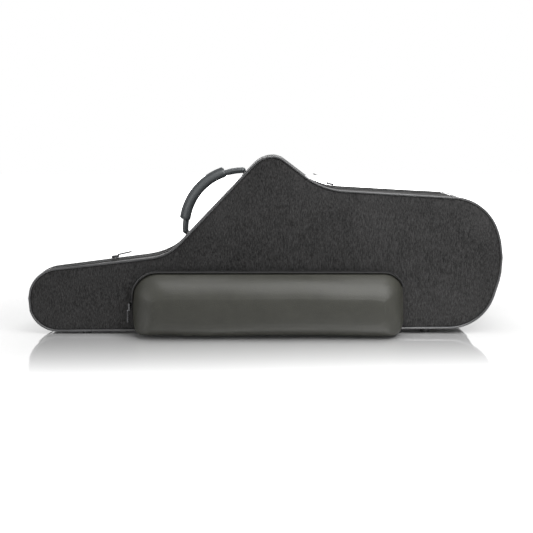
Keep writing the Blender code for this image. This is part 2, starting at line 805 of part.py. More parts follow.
pocket_middle = np.array([POCKET_LEFT + POCKET_RIGHT, POCKET_BOTTOM + POCKET_TOP]) / 2
pocket_reach = np.array([POCKET_RIGHT - POCKET_LEFT, POCKET_TOP - POCKET_BOTTOM]) / 2


def pocket_ring(inset, forward, sag=0.0):
    """A ring of the pocket: set in from its root, forward of the face, with its lower part sunk."""
    flat = pocket_middle + (pocket_line - pocket_middle) * (1 - inset / pocket_reach)
    low = np.clip(1 - (pocket_line[:, 1] - POCKET_BOTTOM) / SAG_REACH, 0, 1)
    flat = flat - np.column_stack([np.zeros(pocket_count), sag * SAG * low**1.5])
    return ring_at(flat, FACE_Y - forward)


def pocket_wall_ring(inset, forward):
    """A ring of the gusset, at an even distance inside its outer surface."""
    return ring_at(pocket_line - pocket_normal * inset, FACE_Y - forward)


gusset_points = [
    pocket_wall_ring(0.0, GAP),
    pocket_wall_ring(0.0, GUSSET_DEPTH - GAP),
    pocket_wall_ring(GUSSET_WALL, GUSSET_DEPTH - GAP),
    pocket_wall_ring(GUSSET_WALL, GAP),
]
gusset_faces = []
for k in range(4):
    gusset_faces += strip_faces(k * pocket_count, (k + 1) % 4 * pocket_count, pocket_count)
pocket_gusset = add_mesh("pocket_gusset", np.vstack(gusset_points), gusset_faces, "leather")
pocket_back = add_mesh(
    "pocket_back", pocket_wall_ring(GUSSET_WALL + GAP, 0.001 + GAP), panel_faces(0, pocket_count), "plush"
)
solidify(pocket_back, 0.001, -1.0)

# Pocket front: a padded leather dish that hangs on the leather at its bottom edge
stations = [
    (0.000, GUSSET_DEPTH + GAP, 0.00),
    (0.001, GUSSET_DEPTH + 0.003, 0.62),
    (0.002, GUSSET_DEPTH + 0.007, 0.98),
    (0.004, GUSSET_DEPTH + 0.017, 1.03),
    (0.008, GUSSET_DEPTH + 0.027, 1.03),
    (0.013, POCKET_DEPTH - 0.0055, 1.00),
    (0.019, POCKET_DEPTH - 0.0020, 0.98),
    (0.027, POCKET_DEPTH, 0.95),
]
inner_stations = [(inset + LEATHER, forward, sag) for inset, forward, sag in stations[:-2]]
inner_stations += [(stations[-2][0] + LEATHER * 0.8, stations[-2][1] - LEATHER * 0.8, stations[-2][2])]
inner_stations += [(stations[-1][0] + LEATHER * 0.3, stations[-1][1] - LEATHER, stations[-1][2])]
pocket_front = dish(
    "pocket_front",
    [pocket_ring(*station) for station in stations],
    [pocket_ring(*station) for station in inner_stations],
    "leather",
    opens_to_front=False,
)
pocket_axis = Vector(((POCKET_LEFT + POCKET_RIGHT) / 2, FACE_Y - GUSSET_DEPTH, POCKET_BOTTOM - GAP))
pocket_pivot = pivot("pocket_pivot", pocket_axis)

# Pocket zip, up the left side, along the top and down the right side
above_bottom = pocket_line[:, 1] > POCKET_BOTTOM + POCKET_BOTTOM_RADIUS + 0.001
start = int(np.flatnonzero(above_bottom[pocket_half - 6 :])[0]) + pocket_half - 6
pocket_zip_index = np.array([k % pocket_count for k in range(start, pocket_count + 1)])
pocket_zip_index = pocket_zip_index[above_bottom[pocket_zip_index]]


def pocket_side(forward, proud, inset=0.0):
    """Points along the pocket's zip, at a distance forward of the face."""
    flat = pocket_line[pocket_zip_index] + pocket_normal[pocket_zip_index] * (proud - inset)
    return ring_at(flat, FACE_Y - forward)


pocket_coil_height = GAP + TAPE_THICKNESS + GAP + POCKET_COIL_RADIUS
rear_forward = GUSSET_DEPTH - GAP - POCKET_COIL_RADIUS
front_forward = GUSSET_DEPTH + GAP + POCKET_COIL_RADIUS
pocket_tape_rear = band(
    "pocket_zip_tape_rear",
    [pocket_side(GUSSET_DEPTH - GAP - POCKET_TAPE_WIDTH, GAP), pocket_side(GUSSET_DEPTH - GAP, GAP)],
    TAPE_THICKNESS,
    "tape",
)
pocket_coil_rear = tube(
    "pocket_zip_coil_rear", pocket_side(rear_forward, pocket_coil_height), POCKET_COIL_RADIUS, "coil", sides=0
)
pocket_tape_front = band(
    "pocket_zip_tape_front",
    [pocket_side(GUSSET_DEPTH + GAP, GAP), pocket_side(GUSSET_DEPTH + GAP + POCKET_TAPE_WIDTH, GAP)],
    TAPE_THICKNESS,
    "tape",
)
pocket_coil_front = tube(
    "pocket_zip_coil_front", pocket_side(front_forward, pocket_coil_height), POCKET_COIL_RADIUS, "coil", sides=0
)
strip_low = POCKET_BOTTOM - GAP - TAPE_THICKNESS
pocket_hinge_strip = block(
    "pocket_hinge_strip",
    (POCKET_LEFT + 0.030, FACE_Y - GUSSET_DEPTH + GAP, strip_low),
    (POCKET_RIGHT - 0.030, FACE_Y - 0.0035, POCKET_BOTTOM - GAP),
    "leather",
)
lid_pieces += [pocket_gusset, pocket_back, pocket_tape_rear, pocket_coil_rear, pocket_hinge_strip]
for piece in (pocket_front, pocket_tape_front, pocket_coil_front):
    set_origin(piece, pocket_axis)
    hang(piece, pocket_pivot)
hang(pocket_pivot, lid_pivot)


def slider_matrix(place, way, out):
    """Places a slider: its X along the zip, its Z out of the wall."""
    way = Vector(way).normalized()
    out = Vector(out)
    out = (out - way * out.dot(way)).normalized()
    side = out.cross(way)
    return Matrix.Translation(place) @ Matrix((way, side, out)).transposed().to_4x4()


def slider(name, matrix, finish_name="metal"):
    """A slider's body over the two coils, with the post that its pull swings on. Its origin is its seat."""
    size = np.array([SLIDER_LENGTH, SLIDER_WIDTH, SLIDER_HEIGHT])
    body = block(name, -size / 2 + [0, 0, SLIDER_HEIGHT / 2], size / 2 + [0, 0, SLIDER_HEIGHT / 2], finish_name, 0.0009, 2)
    body.data.transform(matrix)
    set_origin(body, matrix.translation)
    return body


def pull(name, matrix, length, lift, finish_name="metal"):
    """A flat pull with a long slot, lifted by an angle from the slider's top about the slider's end."""
    bar = PULL_WIDTH / 5
    outer = [(0, 0), (length, 0), (length, PULL_WIDTH), (0, PULL_WIDTH)]
    radius = PULL_WIDTH * 0.45
    line, outward = rounded([(x, y - PULL_WIDTH / 2, radius) for x, y in outer], math.radians(30), length)
    curve = bpy.data.curves.new(name, "CURVE")
    curve.dimensions = "2D"
    curve.fill_mode = "BOTH"
    curve.extrude = PULL_THICKNESS / 2
    for shift in (0.0, bar):
        spline = curve.splines.new("POLY")
        ring = line - outward * shift
        spline.points.add(len(ring) - 1)
        for point, place in zip(spline.points, ring):
            point.co = (place[0], place[1], 0.0, 1.0)
        spline.use_cyclic_u = True
    plate = as_mesh(add_object(name, curve, finish_name))
    swing = Matrix.Translation((SLIDER_LENGTH / 2 - 0.002, 0, SLIDER_HEIGHT + GAP + PULL_THICKNESS / 2))
    plate.data.transform(matrix @ swing @ Matrix.Rotation(-lift, 4, "Y"))
    finish(plate, finish_name)
    set_origin(plate, matrix @ swing @ Vector((0, 0, 0)))
    return plate


# Bell-side slider, on the hollow curve at the foot of the hump, with its pull toward the hump
slider_lift = coil_height + COIL_RADIUS + GAP
bell_wall, bell_normal, bell_way = wall_point(BELL_SLIDER_X)
zip_slope = (LID_DEPTH_BELL - LID_DEPTH_NECK) / (2 * HALF_LENGTH)
bell_place = Vector((bell_wall[0] + bell_normal[0] * slider_lift, float(zip_y(BELL_SLIDER_X)), bell_wall[1] + bell_normal[1] * slider_lift))
bell_matrix = slider_matrix(bell_place, (-bell_way[0], -bell_way[0] * zip_slope, -bell_way[1]), (bell_normal[0], 0, bell_normal[1]))
bell_slider = slider("main_slider_bell", bell_matrix)
bell_pull = pull("main_pull_bell", bell_matrix, PULL_LENGTH, BELL_PULL_LIFT)
hang(bell_pull, bell_slider)

# Neck-side slider, on the straight top of the neck part
neck_wall, neck_normal, neck_way = wall_point(NECK_SLIDER_X)
neck_place = Vector((neck_wall[0] + neck_normal[0] * slider_lift, float(zip_y(NECK_SLIDER_X)), neck_wall[1] + neck_normal[1] * slider_lift))
neck_matrix = slider_matrix(neck_place, (neck_way[0], neck_way[0] * zip_slope, neck_way[1]), (neck_normal[0], 0, neck_normal[1]))
neck_slider = slider("main_slider_neck", neck_matrix)
neck_pull = pull("main_pull_neck", neck_matrix, PULL_LENGTH * 0.8, NECK_PULL_LIFT)
hang(neck_pull, neck_slider)

# Pocket slider, on the straight left side, with its pull hanging
pocket_slider_height = POCKET_BOTTOM + 0.036
pocket_lift = pocket_coil_height + POCKET_COIL_RADIUS + GAP
pocket_slider_place = Vector((POCKET_LEFT - pocket_lift, FACE_Y - GUSSET_DEPTH, pocket_slider_height))
pocket_matrix = slider_matrix(pocket_slider_place, (0, 0, -1), (-1, 0, 0))
pocket_slider = slider("pocket_slider", pocket_matrix)
pocket_pull = pull("pocket_pull", pocket_matrix, PULL_LENGTH * 0.75, 0.0)
hang(pocket_pull, pocket_slider)
hang(pocket_slider, lid_pivot)

# Leather tabs over the zip's two ends
for tab_name, tab_index in (("zip_end_tab_bell", zip_index[:3]), ("zip_end_tab_neck", zip_index[-3:])):
    tab_proud = coil_height + COIL_RADIUS + GAP
    tab = band(tab_name, [base_surface(tab_index, a, tab_proud) for a in (0.011, GAP)], 0.0012, "leather")

# Cavity of the base, which the foam blocks are cut to
cavity_rings = [ring_at(outline - normal_out * cavity_inset, zip_y((outline - normal_out * cavity_inset)[:, 0]) + CRADLE_SETBACK)]
cavity_rings += base_section(cavity_inset, turns)
cavity_faces = []
for k in range(len(cavity_rings) - 1):
    cavity_faces += flipped(strip_faces(k * count, (k + 1) * count, count))
cavity_faces += flipped(panel_faces((len(cavity_rings) - 1) * count, count))
cavity_faces += panel_faces(0, count)
cavity = as_cutter(add_mesh("cavity", np.vstack(cavity_rings), cavity_faces, "foam"))

for cradle_name, (cradle_x, thickness) in CRADLES.items():
    cradle = block(
        cradle_name,
        (cradle_x - thickness / 2, FACE_Y, -0.02),
        (cradle_x + thickness / 2, FACE_Y + BODY_DEPTH + 0.02, 0.36),
        "foam",
    )
    cut(cradle, cavity, "INTERSECT")
    notches = [(TUBE_AXIS_HEIGHT, TUBE_NOTCH_RADIUS[cradle_name])]
    if cradle_name in BELL_NOTCH_RADIUS:
        notches.append((BELL_AXIS_HEIGHT, BELL_NOTCH_RADIUS[cradle_name]))
    for number, (height, radius) in enumerate(notches):
        middle = float(zip_y(cradle_x))
        notch = cylinder(f"{cradle_name}_notch_{number}", (cradle_x, middle, height), (1, 0, 0), radius, thickness * 2, "foam")
        cut(cradle, as_cutter(notch))

# Strap over the body tube, across the stack cradle's notch
strap_x = CRADLES["stack_cradle"][0]
strap_ends = (strap_x - STRAP_WIDTH / 2, strap_x + STRAP_WIDTH / 2)
strap_rows = [
    [(x, float(zip_y(x)) + STRAP_THICKNESS, TUBE_AXIS_HEIGHT + side * STRAP_REACH) for x in strap_ends]
    for side in (-1, 1)
]
strap = add_mesh("hold_down_strap", strap_rows[0] + strap_rows[1], [(0, 1, 3, 2)], "tape")
solidify(strap, STRAP_THICKNESS, -1.0)

# Accessory box: walls and floor from one block that is hollowed from the front
box_low = np.array([BOX_LEFT, FACE_Y + BOX_FRONT_DEPTH, BOX_LOW])
box_high = np.array([BOX_RIGHT, FACE_Y + BODY_DEPTH - SHELL - LINING - BOX_CLEARANCE, BOX_HIGH])
box = block("accessory_box", box_low, box_high, "plush", 0.002, 1)
hollow_low = box_low + [BOX_WALL, -0.01, BOX_WALL]
hollow_high = np.array([BOX_RIGHT - BOX_WALL, FACE_Y + BOX_BACK_DEPTH, BOX_HIGH - BOX_WALL])
cut(box, as_cutter(block("box_hollow", hollow_low, hollow_high, "plush")))
box_lid = block(
    "accessory_lid",
    (BOX_LEFT, FACE_Y + BOX_FRONT_DEPTH - GAP - BOX_LID, BOX_LOW),
    (BOX_RIGHT, FACE_Y + BOX_FRONT_DEPTH - GAP, BOX_HIGH),
    "plush",
    0.001,
    1,
)
box_lid_axis = Vector(((BOX_LEFT + BOX_RIGHT) / 2, FACE_Y + BOX_FRONT_DEPTH - GAP, BOX_LOW))
set_origin(box_lid, box_lid_axis)

# Foam pads on the inside of the lid
for pad_name, (x0, x1, z0, z1, thickness, radius) in PADS.items():
    seat_y = FACE_Y + cavity_inset
    pad = block(pad_name, (x0, seat_y, z0), (x1, seat_y + thickness, z1), "foam", min(thickness * 0.4, radius), 2)
    lid_pieces.append(pad)

# Rings for a shoulder strap: a bored leather lug on the back panel, and a ring that hangs in it
back_face = FACE_Y + BODY_DEPTH
for ring_name, (ring_x, ring_z) in RING_PLACES.items():
    lug = block(
        f"strap_lug_{ring_name}",
        (ring_x - LUG_WIDTH / 2, back_face + GAP, ring_z - LUG_HEIGHT / 2),
        (ring_x + LUG_WIDTH / 2, back_face + GAP + LUG_DEPTH, ring_z + LUG_HEIGHT / 2),
        "leather",
        0.0012,
        1,
    )
    bore_y = back_face + GAP + LUG_DEPTH / 2
    bore = cylinder(f"bore_{ring_name}", (ring_x, bore_y, ring_z), (1, 0, 0), RING_WIRE + GAP, 0.05, "leather", 16)
    cut(lug, as_cutter(bore))
    reach = RING_WIDTH / 2
    ring_path = [(-reach, 0.0), (reach, 0.0)]
    for k in range(1, 9):
        angle = math.pi * k / 9
        ring_path.append((reach * math.cos(angle), -RING_DROP * math.sin(angle)))
    ring = tube(
        f"strap_ring_{ring_name}",
        [(x, 0.0, z) for x, z in ring_path],
        RING_WIRE,
        "metal",
        closed=True,
        sides=2,
    )
    ring.location = (ring_x, bore_y, ring_z)

for piece in lid_pieces:
    if piece.parent is None:
        set_origin(piece, hinge_point)
    hang(piece, lid_pivot)
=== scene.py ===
"""Looks of a shaped tenor saxophone case: its fabric covers, leather pocket, zips, handle and foam."""

import math

import bmesh
import bpy
import numpy as np
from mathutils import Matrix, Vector


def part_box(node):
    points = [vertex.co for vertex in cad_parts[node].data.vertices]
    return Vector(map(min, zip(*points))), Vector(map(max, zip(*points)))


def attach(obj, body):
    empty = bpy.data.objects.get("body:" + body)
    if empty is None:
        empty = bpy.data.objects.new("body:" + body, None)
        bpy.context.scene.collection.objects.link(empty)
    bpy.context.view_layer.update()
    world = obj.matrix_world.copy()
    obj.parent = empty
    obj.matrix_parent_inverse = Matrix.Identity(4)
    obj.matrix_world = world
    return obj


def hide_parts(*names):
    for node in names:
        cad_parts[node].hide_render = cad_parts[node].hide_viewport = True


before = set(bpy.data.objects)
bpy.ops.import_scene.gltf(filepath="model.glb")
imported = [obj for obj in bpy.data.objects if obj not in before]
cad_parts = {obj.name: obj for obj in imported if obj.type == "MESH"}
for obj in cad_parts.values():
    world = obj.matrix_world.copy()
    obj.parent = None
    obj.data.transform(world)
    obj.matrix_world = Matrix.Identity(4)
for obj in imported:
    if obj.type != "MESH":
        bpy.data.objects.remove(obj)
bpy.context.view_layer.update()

# The view: a level camera in front of the lid's face and a little above the case, with its picture shifted
# down. Lens, height and distance follow the photograph's own geometry.
FACE_Y = -0.0759
CAMERA_SIDE = 0.0027
CAMERA_DISTANCE = 1.300
CAMERA_HEIGHT = 0.340
camera_data = bpy.data.cameras.new("camera")
camera_data.lens = 49.6
camera_data.sensor_width = 36.0
camera_data.shift_x = -0.001
camera_data.shift_y = -0.2345
camera_data.clip_start = 0.05
camera = bpy.data.objects.new("camera", camera_data)
camera.location = (CAMERA_SIDE, FACE_Y - CAMERA_DISTANCE, CAMERA_HEIGHT)
camera.rotation_euler = (math.radians(90), 0, 0)
bpy.context.scene.collection.objects.link(camera)
bpy.context.scene.camera = camera
bpy.context.scene.view_settings.view_transform = "Standard"


class Wire:
    """A value in a shader. Sums on it are written as in Python, and each one adds a Math node."""

    def __init__(self, paint, socket):
        self.paint = paint
        self.socket = socket

    def maths(self, operation, first, second):
        """A Math node's result, from an operation and its two values."""
        return self.paint.node("ShaderNodeMath", {"operation": operation}, {0: first, 1: second})

    def __add__(self, other):
        return self.maths("ADD", self, other)

    def __sub__(self, other):
        return self.maths("SUBTRACT", self, other)

    def __rsub__(self, other):
        return self.maths("SUBTRACT", other, self)

    def __mul__(self, other):
        return self.maths("MULTIPLY", self, other)

    def __pow__(self, other):
        return self.maths("POWER", self, other)

    def beyond(self, low):
        """What the value is over a low mark, and nothing under it."""
        return self.maths("MAXIMUM", self - low, 0.0)

    __radd__ = __add__
    __rmul__ = __mul__


class Paint:
    """One material, with its nodes added one at a time."""

    def __init__(self, name):
        self.material = bpy.data.materials.new(name)
        self.material.use_nodes = True
        self.tree = self.material.node_tree
        self.shader = self.tree.nodes["Principled BSDF"]
        self.object_place = self.node("ShaderNodeTexCoord", {}, {}, "Object")

    def node(self, kind, settings, sockets, output=0):
        """A node of a type, with its settings set first and then the values or links of its sockets."""
        made = self.tree.nodes.new(kind)
        for key, value in settings.items():
            if key == "stops":
                ramp = made.color_ramp.elements
                for index, (place, colour) in enumerate(value):
                    stop = ramp[index] if index < 2 else ramp.new(place)
                    stop.position = place
                    stop.color = (*colour, 1.0)
            else:
                setattr(made, key, value)
        for key, value in sockets.items():
            self.put(made.inputs[key], value)
        return Wire(self, made.outputs[output])

    def put(self, socket, value):
        """Link a wire to a socket, or write a plain value in it."""
        if isinstance(value, Wire):
            self.tree.links.new(value.socket, socket)
        else:
            socket.default_value = value

    def look(self, **sockets):
        """Set the shader's sockets, whose names are written here with underscores."""
        for key, value in sockets.items():
            self.put(self.shader.inputs[key.replace("_", " ")], value)
        return self.material

    def noise(self, scale, detail=3.0, roughness=0.5, place=None):
        """Soft noise over the piece, at a number of lumps a metre."""
        return self.node(
            "ShaderNodeTexNoise",
            {},
            {"Vector": place or self.object_place, "Scale": scale, "Detail": detail, "Roughness": roughness},
        )

    def shades(self, share, dark, light):
        """A colour between two others, by a value from 0 to 1."""
        stops = [(0.0, dark), (1.0, light)]
        return self.node("ShaderNodeValToRGB", {"stops": stops}, {"Fac": share})

    def bump(self, height, distance, strength=1.0):
        """A bump from a height that runs from 0 to 1 and a depth in metres."""
        return self.node("ShaderNodeBump", {}, {"Height": height, "Distance": distance, "Strength": strength})


# Floor and light: a pale polished table, and a softly lit white room round it. The room looks white to
# the camera and in reflections, and lights the case at a lower, plain level.
FLOOR_HALF = 6.0
FLOOR_Z = -0.0002
floor_mesh = bpy.data.meshes.new("floor")
floor_corners = [(-1, -1), (1, -1), (1, 1), (-1, 1)]
floor_points = [(x * FLOOR_HALF, y * FLOOR_HALF, FLOOR_Z) for x, y in floor_corners]
floor_mesh.from_pydata(floor_points, [], [(0, 1, 2, 3)])
floor = bpy.data.objects.new("floor", floor_mesh)
bpy.context.scene.collection.objects.link(floor)
floor_paint = Paint("pale_table")
floor_paint.look(Base_Color=(0.68, 0.68, 0.68, 1.0), Roughness=0.5, Specular_IOR_Level=0.1)
floor_paint.look(Emission_Strength=1.0)
seen_by_camera = floor_paint.node("ShaderNodeLightPath", {}, {}, "Is Camera Ray")

# The table's polish shows most under the case's foot and fades out over two hands' breadth round it, and
# beyond that the table runs into the white of the room.
FOOT_HALF_LENGTH = 0.40
FOOT_HALF_DEPTH = 0.095
POLISH = 0.62
POLISH_REACH = 0.225
POLISH_FALL = 1.6
GLOW_AT_FOOT = 0.04
side_place = floor_paint.node("ShaderNodeSeparateXYZ", {}, {0: floor_paint.object_place}, "X")
front_place = floor_paint.node("ShaderNodeSeparateXYZ", {}, {0: floor_paint.object_place}, "Y")


def beyond(place, reach):
    """How far a place lies outside a band round the middle: max(|place| - reach, 0)."""
    return floor_paint.node("ShaderNodeMath", {"operation": "ABSOLUTE"}, {0: place}).beyond(reach)


away = (beyond(side_place, FOOT_HALF_LENGTH) ** 2.0 + beyond(front_place, FOOT_HALF_DEPTH) ** 2.0) ** 0.5
fade = (1.0 - (away * (1 / POLISH_REACH)) ** POLISH_FALL).beyond(0.0)
floor_paint.look(Emission_Color=seen_by_camera * (away + GLOW_AT_FOOT))
mirror = floor_paint.tree.nodes.new("ShaderNodeBsdfGlossy")
mirror.inputs["Roughness"].default_value = 0.05
mirror.inputs["Color"].default_value = (0.98, 0.98, 0.98, 1.0)
polish = floor_paint.tree.nodes.new("ShaderNodeMixShader")
floor_paint.put(polish.inputs["Fac"], fade * POLISH)
floor_paint.tree.links.new(floor_paint.shader.outputs[0], polish.inputs[1])
floor_paint.tree.links.new(mirror.outputs[0], polish.inputs[2])
floor_paint.tree.links.new(polish.outputs[0], floor_paint.tree.nodes["Material Output"].inputs["Surface"])
floor_mesh.materials.append(floor_paint.material)

ROOM_LIGHT = 0.18
world = bpy.data.worlds.new("room")
bpy.context.scene.world = world
world.use_nodes = True
room = world.node_tree
seen = room.nodes.new("ShaderNodeLightPath")
either = room.nodes.new("ShaderNodeMath")
either.operation = "MAXIMUM"
room.links.new(seen.outputs["Is Camera Ray"], either.inputs[0])
room.links.new(seen.outputs["Is Glossy Ray"], either.inputs[1])
any_of = room.nodes.new("ShaderNodeMath")
any_of.operation = "MAXIMUM"
room.links.new(either.outputs[0], any_of.inputs[0])
room.links.new(seen.outputs["Is Transmission Ray"], any_of.inputs[1])
level = room.nodes.new("ShaderNodeMapRange")
level.inputs["To Min"].default_value = ROOM_LIGHT
level.inputs["To Max"].default_value = 1.0
room.links.new(any_of.outputs[0], level.inputs["Value"])
room.links.new(level.outputs[0], room.nodes["Background"].inputs["Strength"])
room.nodes["Background"].inputs["Color"].default_value = (1.0, 1.0, 1.0, 1.0)


def softbox(name, place, target, size, power):
    """A square area lamp that looks at a point, with its side in metres and its power in watts."""
    lamp = bpy.data.lights.new(name, "AREA")
    lamp.shape = "SQUARE"
    lamp.size = size
    lamp.energy = power
    obj = bpy.data.objects.new(name, lamp)
    obj.location = place
    obj.rotation_mode = "QUATERNION"
    obj.rotation_quaternion = (Vector(target) - Vector(place)).to_track_quat("-Z", "Y")
    bpy.context.scene.collection.objects.link(obj)


softbox("key_light", (0.50, -0.60, 0.66), (0.25, 0, 0.22), 0.5, 7)
softbox("fill_light", (-0.85, -0.50, 0.35), (-0.4, 0, 0.08), 0.4, 1.6)
softbox("top_light", (0.15, -0.32, 1.5), (0, -0.1, 0.1), 1.1, 20)
softbox("back_light", (-0.3, 1.4, 0.7), (0, 0.1, 0.15), 0.8, 9)

# The case's outline, seen from the front. Both shells, their linings, the piping and the zip follow it.
# It is a polygon with rounded corners, each given by X, Z and radius, drawn over the piping and
# counter-clockwise from the neck end's bottom.
HALF_LENGTH = 0.420
CORNERS = [
    (-HALF_LENGTH, 0.003, 0.053),
    (0.386, 0.009, 0.086),
    (0.42817, 0.1347, 0.150),
    (0.3933, 0.2390, 0.086),
    (0.1011, 0.2560, 0.126),
    (0.0235, 0.3158, 0.034),
    (-0.0087, 0.3135, 0.048),
    (-0.1737, 0.13821, 0.084),
    (-HALF_LENGTH, 0.1105, 0.053),
]
GAP = 0.0003
PIPING_RADIUS = 0.002
CHAMFER = 0.0022
PIPING_OFFSET = (PIPING_RADIUS + GAP - CHAMFER / math.sqrt(2)) / math.sqrt(2)
NECK_DEPTH = 0.088
BODY_DEPTH = 0.200
NECK_EDGE = 0.036
BODY_EDGE = 0.022
ZIP_NECK_DEPTH = 0.020
ZIP_LEAN = 0.110
RAMP_START = -0.250
RAMP_LENGTH = 0.140
ARC_STEP = math.radians(1.0)
RUN_STEP = 0.002
EVEN_SHARE = 0.45
BUNCHED_SHARE = 0.55
TIE_BREAK = 1e-3
BACK_SAMPLES = 1600


def rounded(corners, arc_step, run_step):
    """Points and outward normals along a closed polygon whose corners are arcs that touch both edges."""
    spots = np.array([corner[:2] for corner in corners])
    radii = np.array([corner[2] for corner in corners])
    edges = np.roll(spots, -1, axis=0) - spots
    edges /= np.linalg.norm(edges, axis=1)[:, None]
    arrive = np.roll(edges, 1, axis=0)
    turns = np.arctan2(arrive[:, 0] * edges[:, 1] - arrive[:, 1] * edges[:, 0], (arrive * edges).sum(axis=1))
    reach = radii * np.tan(np.abs(turns) / 2)
    points = []
    normals = []
    for index, turn in enumerate(turns):
        heading = math.atan2(arrive[index, 1], arrive[index, 0])
        steps = max(2, math.ceil(abs(turn) / arc_step))
        angles = heading + turn * np.arange(steps + 1) / steps
        out = np.column_stack([np.sin(angles), -np.cos(angles)])
        side = math.copysign(1.0, turn)
        centre = spots[index] - arrive[index] * reach[index] - side * radii[index] * out[0]
        arc = centre + side * radii[index] * out
        after = (index + 1) % len(corners)
        goal = spots[after] - edges[index] * reach[after]
        pieces = max(1, math.ceil(np.linalg.norm(goal - arc[-1]) / run_step))
        share = np.arange(1, pieces)[:, None] / pieces
        points += [arc, arc[-1] + (goal - arc[-1]) * share]
        normals += [out, np.repeat(out[-1:], pieces - 1, axis=0)]
    return np.vstack(points), np.vstack(normals)


def in_columns(corners, columns):
    """The outline in pairs, a lower and an upper point at each X, and one point at its left and right ends.

    The columns lie closer together toward both ends: a blend of cosine spacing and even spacing. Of several
    leftmost points, the numbering starts at the one nearest the middle height.
    """
    points, normals = rounded(corners, ARC_STEP, RUN_STEP)
    shift = int(np.argmin(points[:, 0] + TIE_BREAK * np.abs(points[:, 1] - points[:, 1].mean())))
    points = np.roll(points, -shift, axis=0)
    normals = np.roll(normals, -shift, axis=0)
    far = int(np.argmax(points[:, 0]))
    along = (1 - np.cos(np.pi * np.arange(1, columns) / columns)) / 2
    along = BUNCHED_SHARE * along + EVEN_SHARE * np.arange(1, columns) / columns
    x = points[0, 0] + (points[far, 0] - points[0, 0]) * along
    sides = []
    for rows, wanted in ((np.arange(far + 1), x), (np.r_[far : len(points), 0], x[::-1])):
        order = rows[np.argsort(points[rows, 0], kind="stable")]
        z = np.interp(wanted, points[order, 0], points[order, 1])
        out = np.column_stack([np.interp(wanted, points[order, 0], normals[order, k]) for k in range(2)])
        sides.append((np.column_stack([wanted, z]), out / np.linalg.norm(out, axis=1)[:, None]))
    line = np.vstack([points[0], sides[0][0], points[far], sides[1][0]])
    outward = np.vstack([[-1.0, 0.0], sides[0][1], [1.0, 0.0], sides[1][1]])
    return line, outward


edge_line, normal_out = in_columns(CORNERS, columns=150)
outline = edge_line - normal_out * (PIPING_OFFSET + PIPING_RADIUS)
count = len(outline)
half = count // 2


def zip_y(x):
    """The zip plane: its depth behind the face grows in a straight line from the neck end to the bell end."""
    return FACE_Y + ZIP_NECK_DEPTH + ZIP_LEAN * (np.asarray(x) + HALF_LENGTH) / (2 * HALF_LENGTH)


def neck_to_body(x, low, high):
    """The neck part's value, the body's, and a smooth step between them."""
    share = np.clip((np.asarray(x) - RAMP_START) / RAMP_LENGTH, 0, 1)
    return low + (high - low) * share * share * (3 - 2 * share)


def back_y(x, inset):
    """The back panel's Y, or that of a surface at an even distance inside it."""
    along = np.linspace(-0.5, 0.5, BACK_SAMPLES)
    depth = FACE_Y + neck_to_body(along, NECK_DEPTH, BODY_DEPTH)
    slope = np.gradient(depth, along)
    length = np.hypot(1, slope)
    return np.interp(x, along + inset * slope / length, depth - inset / length)


# Fabric covers: a dense dark nylon, woven fine, over foam and a stiff shell. The lid's face swells a
# little between its piped edges, and the base is rounded at the back.
SHELL = 0.009
CHAMFER_BOW = 0.35
BACK_TURN = math.radians(90)


def ring_at(flat, depth):
    """Points of a ring, from their X and Z and from their Y."""
    return np.column_stack([flat[:, 0], np.broadcast_to(depth, len(flat)), flat[:, 1]])


def edge_distance(flat, line):
    """Each point's distance to the nearest point of an outline."""
    return np.sqrt(((flat[:, None, :] - line[None, :, :]) ** 2).sum(axis=2)).min(axis=1)


def panel(ring, rows, crown, reach):
    """A panel across a ring: straight rows between its lower and upper points, swelling away from the edge.

    The swell grows as 1 - exp(-distance / reach) toward the panel's middle, up to the crown.
    """
    size = len(ring)
    middle = size // 2
    low = ring[1:middle]
    high = ring[: middle : -1][: middle - 1]
    share = (1 - np.cos(np.pi * np.arange(1, rows) / rows)) / 2
    inside = low[:, None, :] + (high - low)[:, None, :] * share[None, :, None]
    flat = inside.reshape(-1, 3)
    away = edge_distance(flat[:, [0, 2]], ring[:, [0, 2]])
    flat[:, 1] += crown * (1 - np.exp(-away / reach))
    return flat


def panel_quads(start, size, inner, rows):
    """Faces of a panel, seen from the front: its ring starts at one index and its inner points at another."""
    middle = size // 2
    grid = np.empty((middle + 1, rows + 1), dtype=int)
    grid[1:middle, 1:rows] = inner + np.arange((middle - 1) * (rows - 1)).reshape(middle - 1, rows - 1)
    grid[1:middle, 0] = start + np.arange(1, middle)
    grid[1:middle, rows] = start + size - np.arange(1, middle)
    grid[0] = start
    grid[middle] = start + middle
    quads = np.stack([grid[:-1, :-1], grid[1:, :-1], grid[1:, 1:], grid[:-1, 1:]], axis=-1).reshape(-1, 4)
    return [tuple(dict.fromkeys(quad)) for quad in quads.tolist()]


def strip_quads(first, second, size, closed=True):
    """Faces between two rings, which face out where the second lies nearer the front."""
    last = size if closed else size - 1
    return [(first + i, first + (i + 1) % size, second + (i + 1) % size, second + i) for i in range(last)]


def mesh_piece(name, points, faces, material, smooth_angle=40):
    """A piece from arrays of points and faces, with smooth shading up to an angle."""
    mesh = bpy.data.meshes.new(name)
    mesh.from_pydata(np.asarray(points).tolist(), [], faces)
    mesh.shade_smooth()
    mesh.set_sharp_from_angle(angle=math.radians(smooth_angle))
    mesh.materials.append(material)
    obj = bpy.data.objects.new(name, mesh)
    bpy.context.scene.collection.objects.link(obj)
    return obj


